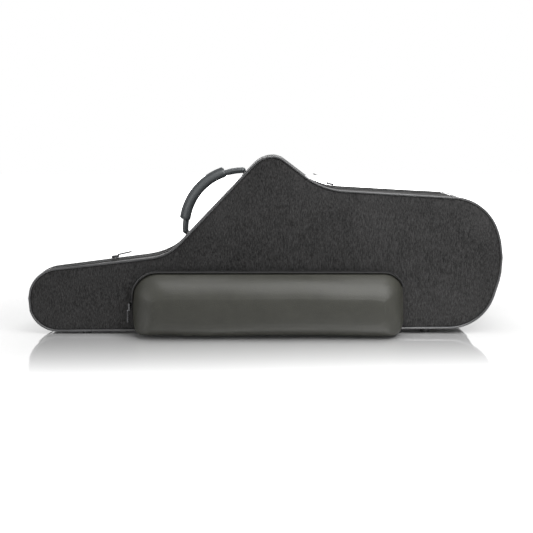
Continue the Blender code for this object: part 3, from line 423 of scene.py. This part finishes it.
def dish(name, outer, inner, material, opens_to_front, crown=0.0, reach=0.02, rows=26):
    """A closed dish from rings that run from its rim to its floor, outside and inside. Its floor swells."""
    size = len(outer[0])
    points = [*outer, *inner, panel(outer[-1], rows, crown, reach), panel(inner[-1], rows, 0.0, reach)]
    start = len(outer) * size
    total = start + len(inner) * size
    panel_size = (size // 2 - 1) * (rows - 1)
    faces = []
    for k in range(len(outer) - 1):
        faces += [face[::-1] for face in strip_quads(k * size, (k + 1) * size, size)]
    faces += [face[::-1] for face in panel_quads(start - size, size, total, rows)]
    for k in range(len(inner) - 1):
        faces += strip_quads(start + k * size, start + (k + 1) * size, size)
    faces += panel_quads(total - size, size, total + panel_size, rows)
    faces += strip_quads(0, start, size)
    if not opens_to_front:
        faces = [face[::-1] for face in faces]
    return mesh_piece(name, np.vstack(points), faces, material)


def lid_ring(inset, depth=None):
    """A ring of the lid inside its outer surface, at its rim or at a depth behind the face."""
    flat = outline - normal_out * inset
    return ring_at(flat, zip_y(flat[:, 0]) - GAP if depth is None else FACE_Y + depth)


def base_rings(inset, turns):
    """Rings of the base: its rim, the end of its wall, then round the back edge by an angle."""
    flat = outline - normal_out * inset
    edge = neck_to_body(outline[:, 0], NECK_EDGE, BODY_EDGE)
    rings = [ring_at(flat, zip_y(flat[:, 0]) + GAP)]
    for turn in turns:
        inward = edge - (edge - inset) * math.cos(turn)
        flat = outline - normal_out * inward[:, None]
        limit = back_y(flat[:, 0], inset)
        depth = back_y(flat[:, 0], 0.0) - edge + (edge - inset) * math.sin(turn)
        rings.append(ring_at(flat, limit if turn >= BACK_TURN else np.minimum(depth, limit)))
    return rings


# A wave texture of scale 1 has a band every 2 pi / 20 metres, which is about this.
WAVE_SPACING = 0.31


def woven(name, dark, light, pitch=0.0017):
    """Plain weave: two sets of fine waves that cross, over soft blotches and a fine grain."""
    paint = Paint(name)
    across = paint.node(
        "ShaderNodeTexWave",
        {"bands_direction": "X"},
        {"Vector": paint.object_place, "Scale": WAVE_SPACING / pitch, "Distortion": 5.0, "Detail Scale": 2.0},
    )
    along = paint.node(
        "ShaderNodeTexWave",
        {"bands_direction": "Z"},
        {"Vector": paint.object_place, "Scale": WAVE_SPACING / pitch, "Distortion": 2.5, "Detail Scale": 2.0},
    )
    threads = across * 0.5 + along * 0.5
    blotch = paint.noise(9.0, 4.0, 0.6)
    drawn = paint.node("ShaderNodeMapping", {}, {"Vector": paint.object_place, "Scale": (1.0, 1.0, 0.3)})
    grain = paint.noise(620.0, 2.0, 0.8, drawn)
    lint = paint.noise(2600.0, 1.0, 0.5)
    share = (blotch * 0.20 + grain * 0.70 + threads * 0.10) * 3.0 - 1.0
    colour = paint.shades(share, dark, light)
    rough = blotch * 0.16 + grain * 0.12 + 0.50
    height = threads * 0.2 + grain * 0.6 + lint * 0.2
    return paint.look(
        Base_Color=colour,
        Roughness=rough,
        Specular_IOR_Level=0.04,
        Sheen_Weight=0.02,
        Sheen_Roughness=0.45,
        Normal=paint.bump(height, 0.0005, 0.8),
    )


nylon = woven("nylon_cover", (0.006, 0.006, 0.006), (0.052, 0.051, 0.051))
lid_cover = dish(
    "lid_cover",
    [
        lid_ring(0.0),
        *[
            ring_at(outline, (zip_y(outline[:, 0]) - GAP) * (1 - t) + (FACE_Y + CHAMFER) * t)
            for t in (0.25, 0.5, 0.75, 1.0)
        ],
        lid_ring(CHAMFER * CHAMFER_BOW, CHAMFER * CHAMFER_BOW),
        lid_ring(CHAMFER, 0.0),
    ],
    [lid_ring(SHELL), lid_ring(SHELL, SHELL)],
    nylon,
    opens_to_front=False,
    crown=-0.0022,
    reach=0.016,
)
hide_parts("lid_shell")
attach(lid_cover, "lid")

EDGE_TURNS = [math.radians(11.25 * k) for k in range(9)]
base_cover = dish(
    "base_cover",
    base_rings(0.0, EDGE_TURNS),
    base_rings(SHELL, EDGE_TURNS[::2]),
    nylon,
    opens_to_front=True,
    crown=0.0015,
    reach=0.018,
)
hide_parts("base_shell")
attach(base_cover, "base")


# Linings: short black plush, glued to the inside of both shells and cut off along the zip. The base's
# follows the rounded back edge, and the lid's is a plain dish.
LINING = 0.0025


def plush_paint(name, dark, light):
    """Short pile: fine noise in colour and height, with soft brushed streaks and a strong sheen."""
    paint = Paint(name)
    pile = paint.noise(1500.0, 3.0, 0.7)
    brushed = paint.noise(22.0, 3.0, 0.6)
    share = pile * 0.5 + brushed * 0.5
    return paint.look(
        Base_Color=paint.shades(share, dark, light),
        Roughness=brushed * 0.12 + 0.82,
        Sheen_Weight=0.6,
        Sheen_Roughness=0.5,
        Normal=paint.bump(pile, 0.0006, 0.7),
    )


plush = plush_paint("black_plush", (0.008, 0.008, 0.010), (0.040, 0.040, 0.046))
out_lining = SHELL + GAP
in_lining = out_lining + LINING
lid_lining = dish(
    "lid_plush",
    [lid_ring(out_lining), lid_ring(out_lining, out_lining)],
    [lid_ring(in_lining), lid_ring(in_lining, in_lining)],
    plush,
    opens_to_front=False,
)
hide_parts("lid_lining")
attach(lid_lining, "lid")
base_lining = dish(
    "base_plush",
    base_rings(out_lining, EDGE_TURNS[::2]),
    base_rings(in_lining, EDGE_TURNS[::2]),
    plush,
    opens_to_front=True,
)
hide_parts("base_lining")
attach(base_lining, "base")


# Piping: a cord in a strip of satin vinyl, sewn into the edge of the lid's face and of the back panel.
# The rear one sits on the middle of the rounded back edge and is a little thinner.
REAR_PIPING_OFFSET = 0.0020
REAR_PIPING_RADIUS = 0.0017
PIPING_SIDES = 10


def tangents(path, closed):
    """Unit tangents of a path, from the points before and after each one."""
    if closed:
        way = np.roll(path, -1, axis=0) - np.roll(path, 1, axis=0)
    else:
        way = np.gradient(path, axis=0)
    return way / np.linalg.norm(way, axis=1)[:, None]


def tube(name, path, outward, radius, sides, closed, material):
    """A round cord along a path: a circle in the plane of each point's outward and sideways directions."""
    way = tangents(path, closed)
    out = outward - way * (outward * way).sum(axis=1)[:, None]
    out /= np.linalg.norm(out, axis=1)[:, None]
    side = np.cross(way, out)
    angles = 2 * np.pi * np.arange(sides) / sides
    radius = np.broadcast_to(radius, len(path))[:, None, None]
    circle = out[:, None, :] * np.cos(angles)[None, :, None]
    circle = circle + side[:, None, :] * np.sin(angles)[None, :, None]
    points = (path[:, None, :] + radius * circle).reshape(-1, 3)
    faces = []
    rows = len(path)
    for k in range(rows if closed else rows - 1):
        faces += strip_quads((k + 1) % rows * sides, k * sides, sides)
    if not closed:
        faces += [tuple(range(sides)), tuple(range((rows - 1) * sides, rows * sides))[::-1]]
    return mesh_piece(name, points, faces, material)


def outward_3d(flat_normal):
    """An outline's normals as directions in space."""
    return np.column_stack([flat_normal[:, 0], np.zeros(len(flat_normal)), flat_normal[:, 1]])


vinyl_paint = Paint("satin_piping")
vinyl_fine = vinyl_paint.noise(700.0, 2.0)
vinyl_wear = vinyl_paint.noise(30.0, 3.0)
vinyl = vinyl_paint.look(
    Base_Color=vinyl_paint.shades(vinyl_wear, (0.020, 0.020, 0.021), (0.070, 0.070, 0.072)),
    Roughness=vinyl_fine * 0.2 + 0.22,
    Normal=vinyl_paint.bump(vinyl_fine, 0.0001, 0.4),
)
piping_line = ring_at(outline + normal_out * PIPING_OFFSET, FACE_Y - PIPING_OFFSET)
piping_out = outward_3d(normal_out)
front_cord = tube("front_cord", piping_line, piping_out, PIPING_RADIUS, PIPING_SIDES, True, vinyl)
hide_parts("front_piping")
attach(front_cord, "lid")
rear_line = base_rings(-REAR_PIPING_OFFSET, [math.radians(45)])[1]
rear_cord = tube("rear_cord", rear_line, piping_out, REAR_PIPING_RADIUS, PIPING_SIDES, True, vinyl)
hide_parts("rear_piping")
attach(rear_cord, "base")

# Main zip and fabric hinge: woven tapes glued on the wall at both sides of the split, and a nylon coil
# on each tape of the zip. The hinge runs along the bottom, where both tapes are one cloth.
HINGE_START = -0.384
HINGE_END = 0.347
TAPE = 0.0008
TAPE_WIDTH = 0.010
HINGE_WIDTH = 0.011
COIL = 0.0012
COIL_WIRE = 0.0004
COIL_PITCH = 0.0021
COIL_POINTS = 8
WIRE_SIDES = 4
on_hinge = (np.arange(count) <= half) & (outline[:, 0] >= HINGE_START) & (outline[:, 0] <= HINGE_END)
hinge_index = np.flatnonzero(on_hinge)
zip_index = np.r_[hinge_index[-1] + 1 : count, 0 : hinge_index[0]]


def base_surface(index, away, proud):
    """Points on the base's side: straight back from the zip plane, then round the back edge."""
    edge = neck_to_body(outline[index, 0], NECK_EDGE, BODY_EDGE)
    front = zip_y(outline[index, 0])
    wall_end = back_y(outline[index, 0], 0.0) - edge
    turn = np.maximum(front + away - wall_end, 0.0) / edge
    inward = edge - (edge + proud) * np.cos(turn)
    flat = outline[index] - normal_out[index] * inward[:, None]
    return ring_at(flat, np.minimum(front + away, wall_end) + (edge + proud) * np.sin(turn))


def lid_surface(index, away, proud):
    """Points on the lid's side, straight forward from the zip plane along the wall."""
    return ring_at(outline[index] + normal_out[index] * proud, zip_y(outline[index, 0]) - away)


def strap(name, surface, index, places, low, high, material):
    """A closed strip of cloth: rows of points at places across its width, on its inner and its outer face."""
    rows = [surface(index, place, high) for place in places]
    rows += [surface(index, place, low) for place in places[::-1]]
    size = len(index)
    faces = []
    for k in range(len(rows)):
        faces += strip_quads(k * size, (k + 1) % len(rows) * size, size, closed=False)
    starts = [k * size for k in range(len(rows))]
    faces += [tuple(starts)[::-1], tuple(start + size - 1 for start in starts)]
    obj = mesh_piece(name, np.vstack(rows), faces, material)
    outwards(obj)
    return obj


def outwards(obj):
    """Turn all faces of a closed mesh outwards."""
    work = bmesh.new()
    work.from_mesh(obj.data)
    bmesh.ops.recalc_face_normals(work, faces=work.faces)
    work.to_mesh(obj.data)
    work.free()


tape_paint = Paint("zip_tape")
tape_rib = tape_paint.node(
    "ShaderNodeTexWave", {"bands_direction": "DIAGONAL"}, {"Vector": tape_paint.object_place, "Scale": 260.0}
)
tape_fuzz = tape_paint.noise(1400.0, 2.0)
tape_colour = tape_rib * 0.5 + tape_fuzz * 0.5
tape = tape_paint.look(
    Base_Color=tape_paint.shades(tape_colour, (0.006, 0.006, 0.006), (0.034, 0.034, 0.034)),
    Roughness=tape_fuzz * 0.15 + 0.70,
    Normal=tape_paint.bump(tape_rib, 0.0003, 0.7),
)
base_zip_places = (GAP, 0.25 * TAPE_WIDTH, 0.6 * TAPE_WIDTH, TAPE_WIDTH)
lid_zip_places = (GAP, 0.5 * TAPE_WIDTH, TAPE_WIDTH)
hinge_places = (GAP, 0.5 * HINGE_WIDTH, HINGE_WIDTH)
strap_jobs = [
    ("base_tape", base_surface, zip_index, base_zip_places, "base_zip_tape", "base"),
    ("lid_tape", lid_surface, zip_index, lid_zip_places, "lid_zip_tape", "lid"),
    ("base_hinge_cloth", base_surface, hinge_index, hinge_places, "base_hinge_tape", "base"),
    ("lid_hinge_cloth", lid_surface, hinge_index, hinge_places, "lid_hinge_tape", "lid"),
]
for piece_name, surface, index, places, node, body in strap_jobs:
    cloth = strap(piece_name, surface, index, places, GAP, GAP + TAPE, tape)
    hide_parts(node)
    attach(cloth, body)


def coil(name, path, outward, radius, wire, pitch, material):
    """A nylon coil: a helix of a thin wire round the path, one turn a pitch."""
    steps = np.r_[0, np.cumsum(np.linalg.norm(np.diff(path, axis=0), axis=1))]
    places = np.arange(0, steps[-1], pitch / COIL_POINTS)
    middle = np.column_stack([np.interp(places, steps, path[:, k]) for k in range(3)])
    out = np.column_stack([np.interp(places, steps, outward[:, k]) for k in range(3)])
    way = tangents(middle, False)
    out -= way * (out * way).sum(axis=1)[:, None]
    out /= np.linalg.norm(out, axis=1)[:, None]
    side = np.cross(way, out)
    angle = 2 * np.pi * places / pitch
    ray = out * np.cos(angle)[:, None] + side * np.sin(angle)[:, None]
    return tube(name, middle + ray * (radius - wire), ray, wire, WIRE_SIDES, False, material)


coil_paint = Paint("nylon_coil")
coil_worn = coil_paint.noise(60.0, 2.0)
coil_black = coil_paint.look(
    Base_Color=coil_paint.shades(coil_worn, (0.012, 0.012, 0.012), (0.045, 0.045, 0.045)),
    Roughness=coil_worn * 0.2 + 0.25,
)
coil_proud = GAP + TAPE + GAP + COIL
zip_out = outward_3d(normal_out[zip_index])
for body, surface in (("base", base_surface), ("lid", lid_surface)):
    coil_line = surface(zip_index, GAP + COIL, coil_proud)
    teeth = coil(f"{body}_teeth", coil_line, zip_out, COIL, COIL_WIRE, COIL_PITCH, coil_black)
    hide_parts(f"{body}_zip_coil")
    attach(teeth, body)

# Pocket: black leather with a fine grain, padded and sagging a little at its lower edge. Its front hangs
# on the leather at its bottom, and a gusset joins it to the lid.
POCKET_LEFT = -0.233
POCKET_RIGHT = 0.242
POCKET_BOTTOM = 0.0145
POCKET_TOP = 0.110
GUSSET = 0.013
GUSSET_WALL = 0.002
GUSSET_MIDDLE = 0.006
POCKET_WALL = 0.003
SAG = 0.015
SAG_REACH = 0.060
pocket_corners = [
    (POCKET_LEFT, POCKET_BOTTOM, 0.014),
    (POCKET_RIGHT, POCKET_BOTTOM, 0.014),
    (POCKET_RIGHT, POCKET_TOP, 0.035),
    (POCKET_LEFT, POCKET_TOP, 0.044),
]
pocket_line, pocket_normal = in_columns(pocket_corners, columns=130)
pocket_middle = np.array([POCKET_LEFT + POCKET_RIGHT, POCKET_BOTTOM + POCKET_TOP]) / 2
pocket_reach = np.array([POCKET_RIGHT - POCKET_LEFT, POCKET_TOP - POCKET_BOTTOM]) / 2


def leather_paint(name, dark, light, rough, grain_scale=620.0, shine=0.36):
    """Grained leather: small cells with creases between them, soft blotches, and polish on the high spots."""
    paint = Paint(name)
    cells = paint.node(
        "ShaderNodeTexVoronoi",
        {"feature": "SMOOTH_F1"},
        {"Vector": paint.object_place, "Scale": grain_scale, "Smoothness": 0.6, "Randomness": 0.9},
        "Distance",
    )
    folds = paint.noise(38.0, 4.0, 0.55)
    pores = paint.noise(1900.0, 2.0)
    share = folds * 0.6 + pores * 0.15 + cells * 0.25
    height = (1 - cells) * 0.7 + folds * 0.3
    return paint.look(
        Base_Color=paint.shades(share, dark, light),
        Roughness=cells * 0.18 + folds * 0.12 + rough,
        Specular_IOR_Level=shine,
        Normal=paint.bump(height, 0.0005, 0.55),
    )


def smooth_rows(stations, count_between):
    """Stations joined by smooth curves, in which each one's slope is half the step between its neighbours."""
    stations = np.asarray(stations)
    slope = np.gradient(stations, axis=0)
    t = (np.arange(count_between) / count_between)[None, :, None]
    start = stations[:-1, None, :]
    end = stations[1:, None, :]
    first = slope[:-1, None, :]
    second = slope[1:, None, :]
    rows = (2 * t**3 - 3 * t**2 + 1) * start + (t**3 - 2 * t**2 + t) * first
    rows = rows + (3 * t**2 - 2 * t**3) * end + (t**3 - t**2) * second
    return np.vstack([rows.reshape(-1, stations.shape[1]), stations[-1]])


def pocket_ring(inset, forward, sag=0.0):
    """A ring of the pocket, drawn in toward its middle, with its lower part sunk.

    The sag falls off with height above the root's bottom, as (1 - height / reach) to the power 1.5.
    """
    flat = pocket_middle + (pocket_line - pocket_middle) * (1 - inset / pocket_reach)
    low = np.clip(1 - (pocket_line[:, 1] - POCKET_BOTTOM) / SAG_REACH, 0, 1)
    flat = flat - np.column_stack([np.zeros(len(flat)), sag * SAG * low**1.5])
    return ring_at(flat, FACE_Y - forward)


leather = leather_paint("pocket_leather", (0.017, 0.017, 0.0135), (0.042, 0.042, 0.034), rough=0.32)
# Each station of the padded front: how far it is drawn in, how far it stands in front of the face, and its
# share of the sag.
pocket_stations = [
    (0.0000, 0.0133, 0.00),
    (0.0015, 0.0160, 0.58),
    (0.0040, 0.0210, 0.98),
    (0.0090, 0.0300, 1.26),
    (0.0150, 0.0385, 1.46),
    (0.0220, 0.0455, 1.56),
    (0.0300, 0.0510, 1.58),
    (0.0380, 0.0545, 1.52),
]
inner_stations = [(inset + POCKET_WALL, forward, sag) for inset, forward, sag in pocket_stations[:-2]]
inner_stations += [(0.0325, 0.0495, 1.58), (0.0385, 0.0515, 1.52)]
pocket_cover = dish(
    "pocket_cover_leather",
    [pocket_ring(*row) for row in smooth_rows(pocket_stations, 4)],
    [pocket_ring(*row) for row in inner_stations],
    leather,
    opens_to_front=False,
    crown=-0.0025,
    reach=0.010,
    rows=18,
)

# Soft lumps in the padding, a hand's breadth long and about a millimetre deep. They begin some way in
# front of the lid's face and fade in from there. Their waves are in radians a metre.
LUMPS_START = 0.022
LUMPS_FADE = 0.012
LUMPS_DEPTH = 0.0010
LUMPS_WAVE = 31
SLANT_ALONG = 13
SLANT_UP = 40
LUMPS_RISE = 0.0008
RISE_WAVE = 23
padding = pocket_cover.data
place = np.empty(len(padding.vertices) * 3)
padding.vertices.foreach_get("co", place)
place = place.reshape(-1, 3)
front_share = np.clip((FACE_Y - LUMPS_START - place[:, 1]) / LUMPS_FADE, 0, 1)
slant = np.sin(place[:, 0] * SLANT_ALONG + place[:, 2] * SLANT_UP)
lumps = np.sin(place[:, 0] * LUMPS_WAVE + 1.3) * slant
place[:, 1] -= front_share * LUMPS_DEPTH * lumps
place[:, 2] += front_share * LUMPS_RISE * np.sin(place[:, 0] * RISE_WAVE + 0.6)
padding.vertices.foreach_set("co", place.ravel())
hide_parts("pocket_front")
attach(pocket_cover, "pocket_cover")


def pocket_wall_ring(inset, forward):
    """A ring of the gusset at an even distance inside its outer surface."""
    return ring_at(pocket_line - pocket_normal * inset, FACE_Y - forward)


gusset_rows = [(0.0, GAP), (0.0, GUSSET_MIDDLE), (0.0, GUSSET - GAP)]
gusset_rows += [(GUSSET_WALL, GUSSET - GAP), (GUSSET_WALL, GAP)]
gusset_points = np.vstack([pocket_wall_ring(*row) for row in gusset_rows])
gusset_faces = []
for k in range(len(gusset_rows)):
    following = (k + 1) % len(gusset_rows)
    gusset_faces += strip_quads(k * len(pocket_line), following * len(pocket_line), len(pocket_line))
gusset = mesh_piece("gusset_leather", gusset_points, gusset_faces, leather)
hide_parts("pocket_gusset")
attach(gusset, "lid")

# Pocket zip: the same tape and coil, finer, from low on the left side over the top to the right side. One
# tape is glued round the gusset and goes with the lid, and the other goes with the pocket's front.
POCKET_ZIP_LOW = 0.0555
POCKET_COIL = 0.0010
POCKET_COIL_WIRE = 0.00035
POCKET_COIL_PITCH = 0.0018
POCKET_TAPE_WIDTH = 0.0055
WIDE_STEP = 5
pocket_count = len(pocket_line)
turned = np.roll(np.arange(pocket_count), pocket_count // 2 - 1)
above = pocket_line[turned, 1] > POCKET_ZIP_LOW
pocket_zip = turned[above]
# The zip's numbering starts after the one wide step, where the pocket's lower part is left out.
steps = np.diff(np.r_[pocket_zip, pocket_zip[0]])
pocket_zip = np.roll(pocket_zip, -(int(np.argmax(steps > WIDE_STEP)) + 1))


def pocket_side(index, forward, proud):
    """Points on the pocket's side, at a distance in front of the face."""
    return ring_at(pocket_line[index] + pocket_normal[index] * proud, FACE_Y - forward)


pocket_proud = GAP + TAPE + GAP + POCKET_COIL
pocket_out = outward_3d(pocket_normal[pocket_zip])
for end_name, side, body in (("rear", -1, "lid"), ("front", 1, "pocket_cover")):
    places = [GUSSET + side * (GAP + share * POCKET_TAPE_WIDTH) for share in (0.0, 0.5, 1.0)]
    cloth = strap(f"pocket_tape_{end_name}", pocket_side, pocket_zip, places, GAP, GAP + TAPE, tape)
    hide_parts(f"pocket_zip_tape_{end_name}")
    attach(cloth, body)
    coil_line = pocket_side(pocket_zip, GUSSET + side * (GAP + POCKET_COIL), pocket_proud)
    sizes = (POCKET_COIL, POCKET_COIL_WIRE, POCKET_COIL_PITCH)
    teeth = coil(f"pocket_teeth_{end_name}", coil_line, pocket_out, *sizes, coil_black)
    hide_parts(f"pocket_zip_coil_{end_name}")
    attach(teeth, body)


# Handle: a cord core in smooth glossy leather, with a second leather sleeve folded round the middle and
# sewn into a flat fin along its outer side.
glossy = leather_paint(
    "handle_leather",
    dark=(0.030, 0.034, 0.036),
    light=(0.085, 0.092, 0.096),
    rough=0.18,
    grain_scale=900.0,
    shine=0.5,
)
BAR = 0.006
SLEEVE_FIT = 0.0007
SLEEVE_WALL = 0.0015
SLEEVE_RADIUS = BAR + SLEEVE_FIT + SLEEVE_WALL
SLEEVE_START = 0.145
SLEEVE_END = 0.79
SLEEVE_ROWS = 46
SLEEVE_POINTS = 23
PINCH_REACH = 0.012
PINCHED_WALL = 0.0007
PINCHED_FIN = 0.35
FIN_HEIGHT = 0.0045
FIN_HALF = 0.0015
FIN_TIP = 0.001
FIN_TIP_HALF = 0.0011
core_low, core_high = [np.array(corner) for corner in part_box("handle_core")]
handle_y = (core_low[1] + core_high[1]) / 2
handle_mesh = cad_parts["handle_core"].data
core_points = np.empty(len(handle_mesh.vertices) * 3)
handle_mesh.vertices.foreach_get("co", core_points)
core_points = core_points.reshape(-1, 3)[:, [0, 2]]


def circle_through(points):
    """Centre and mean radius of the circle that fits points best, by least squares."""
    rows = np.column_stack([2 * points, np.ones(len(points))])
    answer = np.linalg.lstsq(rows, (points**2).sum(axis=1), rcond=None)[0]
    centre = answer[:2]
    return centre, np.linalg.norm(points - centre, axis=1).mean()


arc_centre, arc_radius = circle_through(core_points)
core_angles = np.arctan2(core_points[:, 1] - arc_centre[1], core_points[:, 0] - arc_centre[0])
core_angles = np.where(core_angles < 0, core_angles + 2 * np.pi, core_angles)
angle_low = core_angles.max()
angle_high = core_angles.min()


def handle_frames(shares):
    """Centres and outward directions of the handle's arc at shares of its length, from its lower end."""
    angles = angle_low + (angle_high - angle_low) * shares
    out = np.column_stack([np.cos(angles), np.zeros(len(angles)), np.sin(angles)])
    middle = np.array([arc_centre[0], handle_y, arc_centre[1]]) + out * arc_radius
    return middle, out


shares = np.linspace(SLEEVE_START, SLEEVE_END, SLEEVE_ROWS)
middle, out = handle_frames(shares)
across = np.array([0.0, 1.0, 0.0])
fin_turn = math.asin(FIN_HALF / SLEEVE_RADIUS)
round_angles = np.linspace(fin_turn, 2 * math.pi - fin_turn, SLEEVE_POINTS)
end_pinch = np.clip(np.minimum(shares - SLEEVE_START, SLEEVE_END - shares) / PINCH_REACH, 0, 1) ** 0.5
rings = []
for centre, ray, pinch in zip(middle, out, end_pinch):
    outer_radius = BAR + SLEEVE_FIT + PINCHED_WALL + (SLEEVE_WALL - PINCHED_WALL) * pinch
    fin_tip = outer_radius + FIN_HEIGHT * (PINCHED_FIN + (1 - PINCHED_FIN) * pinch)
    fin_top = centre + ray * fin_tip
    fin_side = centre + ray * (fin_tip - FIN_TIP)
    ring = [fin_top + across * FIN_TIP_HALF, fin_side + across * FIN_HALF]
    ring += [centre + outer_radius * (ray * math.cos(a) + across * math.sin(a)) for a in round_angles]
    ring += [fin_side - across * FIN_HALF, fin_top - across * FIN_TIP_HALF]
    rings.append(ring)
bore_angles = np.r_[fin_turn / 4, fin_turn / 2, round_angles, -fin_turn / 2, -fin_turn / 4]
bores = [
    [centre + (BAR + SLEEVE_FIT) * (ray * math.cos(a) + across * math.sin(a)) for a in bore_angles]
    for centre, ray in zip(middle, out)
]
ring_size = len(rings[0])
row_count = len(rings)
sleeve_faces = []
for k in range(row_count - 1):
    sleeve_faces += strip_quads((k + 1) * ring_size, k * ring_size, ring_size)
    sleeve_faces += strip_quads((row_count + k) * ring_size, (row_count + k + 1) * ring_size, ring_size)
sleeve_faces += strip_quads(0, row_count * ring_size, ring_size)
sleeve_faces += strip_quads((2 * row_count - 1) * ring_size, (row_count - 1) * ring_size, ring_size)
sleeve = mesh_piece("grip_sleeve", np.array(rings + bores).reshape(-1, 3), sleeve_faces, glossy)
outwards(sleeve)
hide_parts("handle_sleeve")
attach(sleeve, "handle")

# Stitches along the handle's fin, the same on both of its sides, and over the pocket's upper edge, where
# its leather is gathered into the zip's tape. Each is a short thread of dark waxed yarn.
THREAD_RISE = 0.00028
THREAD_HALF = 0.00025
FIN_STITCH_HALF = 0.0011
FIN_SEAM_START = 0.165
FIN_SEAM_END = 0.77
FIN_SEAM_HEIGHT = 0.0022
FIN_SEAM_SIDE = 0.00152
FIN_STITCHES = 38
POCKET_STITCH_HALF = 0.0016
POCKET_STITCH_PROUD = 0.0002
thread_paint = Paint("waxed_thread")
thread_twist = thread_paint.noise(1200.0, 2.0)
thread = thread_paint.look(
    Base_Color=thread_paint.shades(thread_twist, (0.02, 0.02, 0.021), (0.07, 0.07, 0.072)),
    Roughness=thread_twist * 0.2 + 0.5,
)
octahedron = [(0, 2, 4), (2, 1, 4), (1, 3, 4), (3, 0, 4), (2, 0, 5), (1, 2, 5), (3, 1, 5), (0, 3, 5)]


def sew(name, seats, ways, rises, half_length, body):
    """A row of stitches: each a short eight-sided thread at its seat, that lies its own way."""
    sides = np.cross(ways, rises)
    corners = [seats + ways * half_length, seats - ways * half_length]
    corners += [seats + rises * THREAD_RISE, seats - rises * THREAD_RISE]
    corners += [seats + sides * THREAD_HALF, seats - sides * THREAD_HALF]
    faces = [tuple(6 * k + i for i in face) for k in range(len(seats)) for face in octahedron]
    sewn = mesh_piece(name, np.stack(corners, axis=1).reshape(-1, 3), faces, thread, smooth_angle=80)
    outwards(sewn)
    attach(sewn, body)


stitch_middle, stitch_out = handle_frames(np.linspace(FIN_SEAM_START, FIN_SEAM_END, FIN_STITCHES))
fin_line = stitch_middle + stitch_out * (SLEEVE_RADIUS + FIN_SEAM_HEIGHT)
fin_seats = np.vstack([fin_line + across * side * FIN_SEAM_SIDE for side in (-1, 1)])
fin_rises = np.vstack([stitch_out, stitch_out])
fin_ways = np.cross(fin_rises, across)
sew("fin_stitches", fin_seats, fin_ways, fin_rises, FIN_STITCH_HALF, "handle")
gathered = pocket_zip[::2]
edge_rings = [pocket_ring(*pocket_stations[row])[gathered] for row in range(3)]
edge_ways = edge_rings[2] - edge_rings[0]
edge_ways /= np.linalg.norm(edge_ways, axis=1)[:, None]
edge_rises = outward_3d(pocket_normal[gathered])
edge_rises -= edge_ways * (edge_rises * edge_ways).sum(axis=1)[:, None]
edge_rises /= np.linalg.norm(edge_rises, axis=1)[:, None]
edge_seats = edge_rings[1] + edge_rises * POCKET_STITCH_PROUD
sew("pocket_stitches", edge_seats, edge_ways, edge_rises, POCKET_STITCH_HALF, "pocket_cover")

# Metal: sliders, pulls, rings and rivets plated in black nickel, with fine scratches. The plating stays
# dark at a glancing angle too.
metal_paint = Paint("black_nickel")
smear = metal_paint.noise(90.0, 3.0)
scratch = metal_paint.noise(1500.0, 2.0)
nickel = metal_paint.look(
    Base_Color=metal_paint.shades(smear, (0.05, 0.05, 0.052), (0.13, 0.13, 0.135)),
    Metallic=1.0,
    Specular_Tint=(0.12, 0.12, 0.12, 1.0),
    Roughness=smear * 0.14 + 0.26,
    Normal=metal_paint.bump(scratch, 0.00005, 0.3),
)

# Rubber feet, moulded black. The pieces that stay as the CAD made them get their materials by their names
# here: metal, pocket leather, handle leather or rubber.
rubber_paint = Paint("foot_rubber")
rubber_grain = rubber_paint.noise(800.0, 2.0)
rubber = rubber_paint.look(
    Base_Color=rubber_paint.shades(rubber_grain, (0.010, 0.010, 0.010), (0.030, 0.030, 0.030)),
    Roughness=rubber_grain * 0.2 + 0.6,
    Normal=rubber_paint.bump(rubber_grain, 0.0002, 0.4),
)
metal_nodes = ("main_slider", "main_pull", "pocket_slider", "pocket_pull", "strap_ring", "handle_rivet")
leather_nodes = ("strap_lug", "pocket_hinge_strip", "zip_end_tab")
for node_name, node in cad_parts.items():
    finish = None
    if node_name.startswith(metal_nodes):
        finish = nickel
    elif node_name.startswith(leather_nodes):
        finish = leather
    elif node_name.startswith(("handle_core", "handle_anchor")):
        finish = glossy
    elif "foot" in node_name:
        finish = rubber
    if finish:
        for slot in node.material_slots:
            slot.material = finish


# Foam: the cradles and pads are blocks of foam, and the accessory box, its lid and the pocket's back are
# board, all covered with plush. The strap over the body tube is the zip's cloth.
def covered(name, node_name, body, round_edge, material):
    """A copy of a CAD block with its doubles merged and its edges rounded over, in its cover."""
    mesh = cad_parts[node_name].data.copy()
    work = bmesh.new()
    work.from_mesh(mesh)
    bmesh.ops.remove_doubles(work, verts=work.verts, dist=0.00001)
    bmesh.ops.dissolve_limit(work, angle_limit=math.radians(1), verts=work.verts, edges=work.edges)
    work.to_mesh(mesh)
    work.free()
    mesh.name = name
    mesh.materials.clear()
    mesh.materials.append(material)
    mesh.shade_smooth()
    obj = bpy.data.objects.new(name, mesh)
    bpy.context.scene.collection.objects.link(obj)
    rounding = obj.modifiers.new("rounding", "BEVEL")
    rounding.width = round_edge
    rounding.segments = 3
    rounding.limit_method = "ANGLE"
    rounding.angle_limit = math.radians(40)
    mesh.set_sharp_from_angle(angle=math.radians(50))
    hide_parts(node_name)
    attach(obj, body)


for cradle in ("neck_end_cradle", "stack_cradle", "bell_cradle", "bow_cradle"):
    covered(f"{cradle}_plush", cradle, "base", 0.0025, plush)
for pad in ("lid_pad_stack", "lid_pad_bell"):
    covered(f"{pad}_plush", pad, "lid", 0.0015, plush)
covered("box_plush", "accessory_box", "base", 0.0008, plush)
covered("box_lid_plush", "accessory_lid", "box_lid", 0.0006, plush)
covered("pocket_back_plush", "pocket_back", "lid", 0.0003, plush)
covered("body_strap", "hold_down_strap", "base", 0.0004, tape)
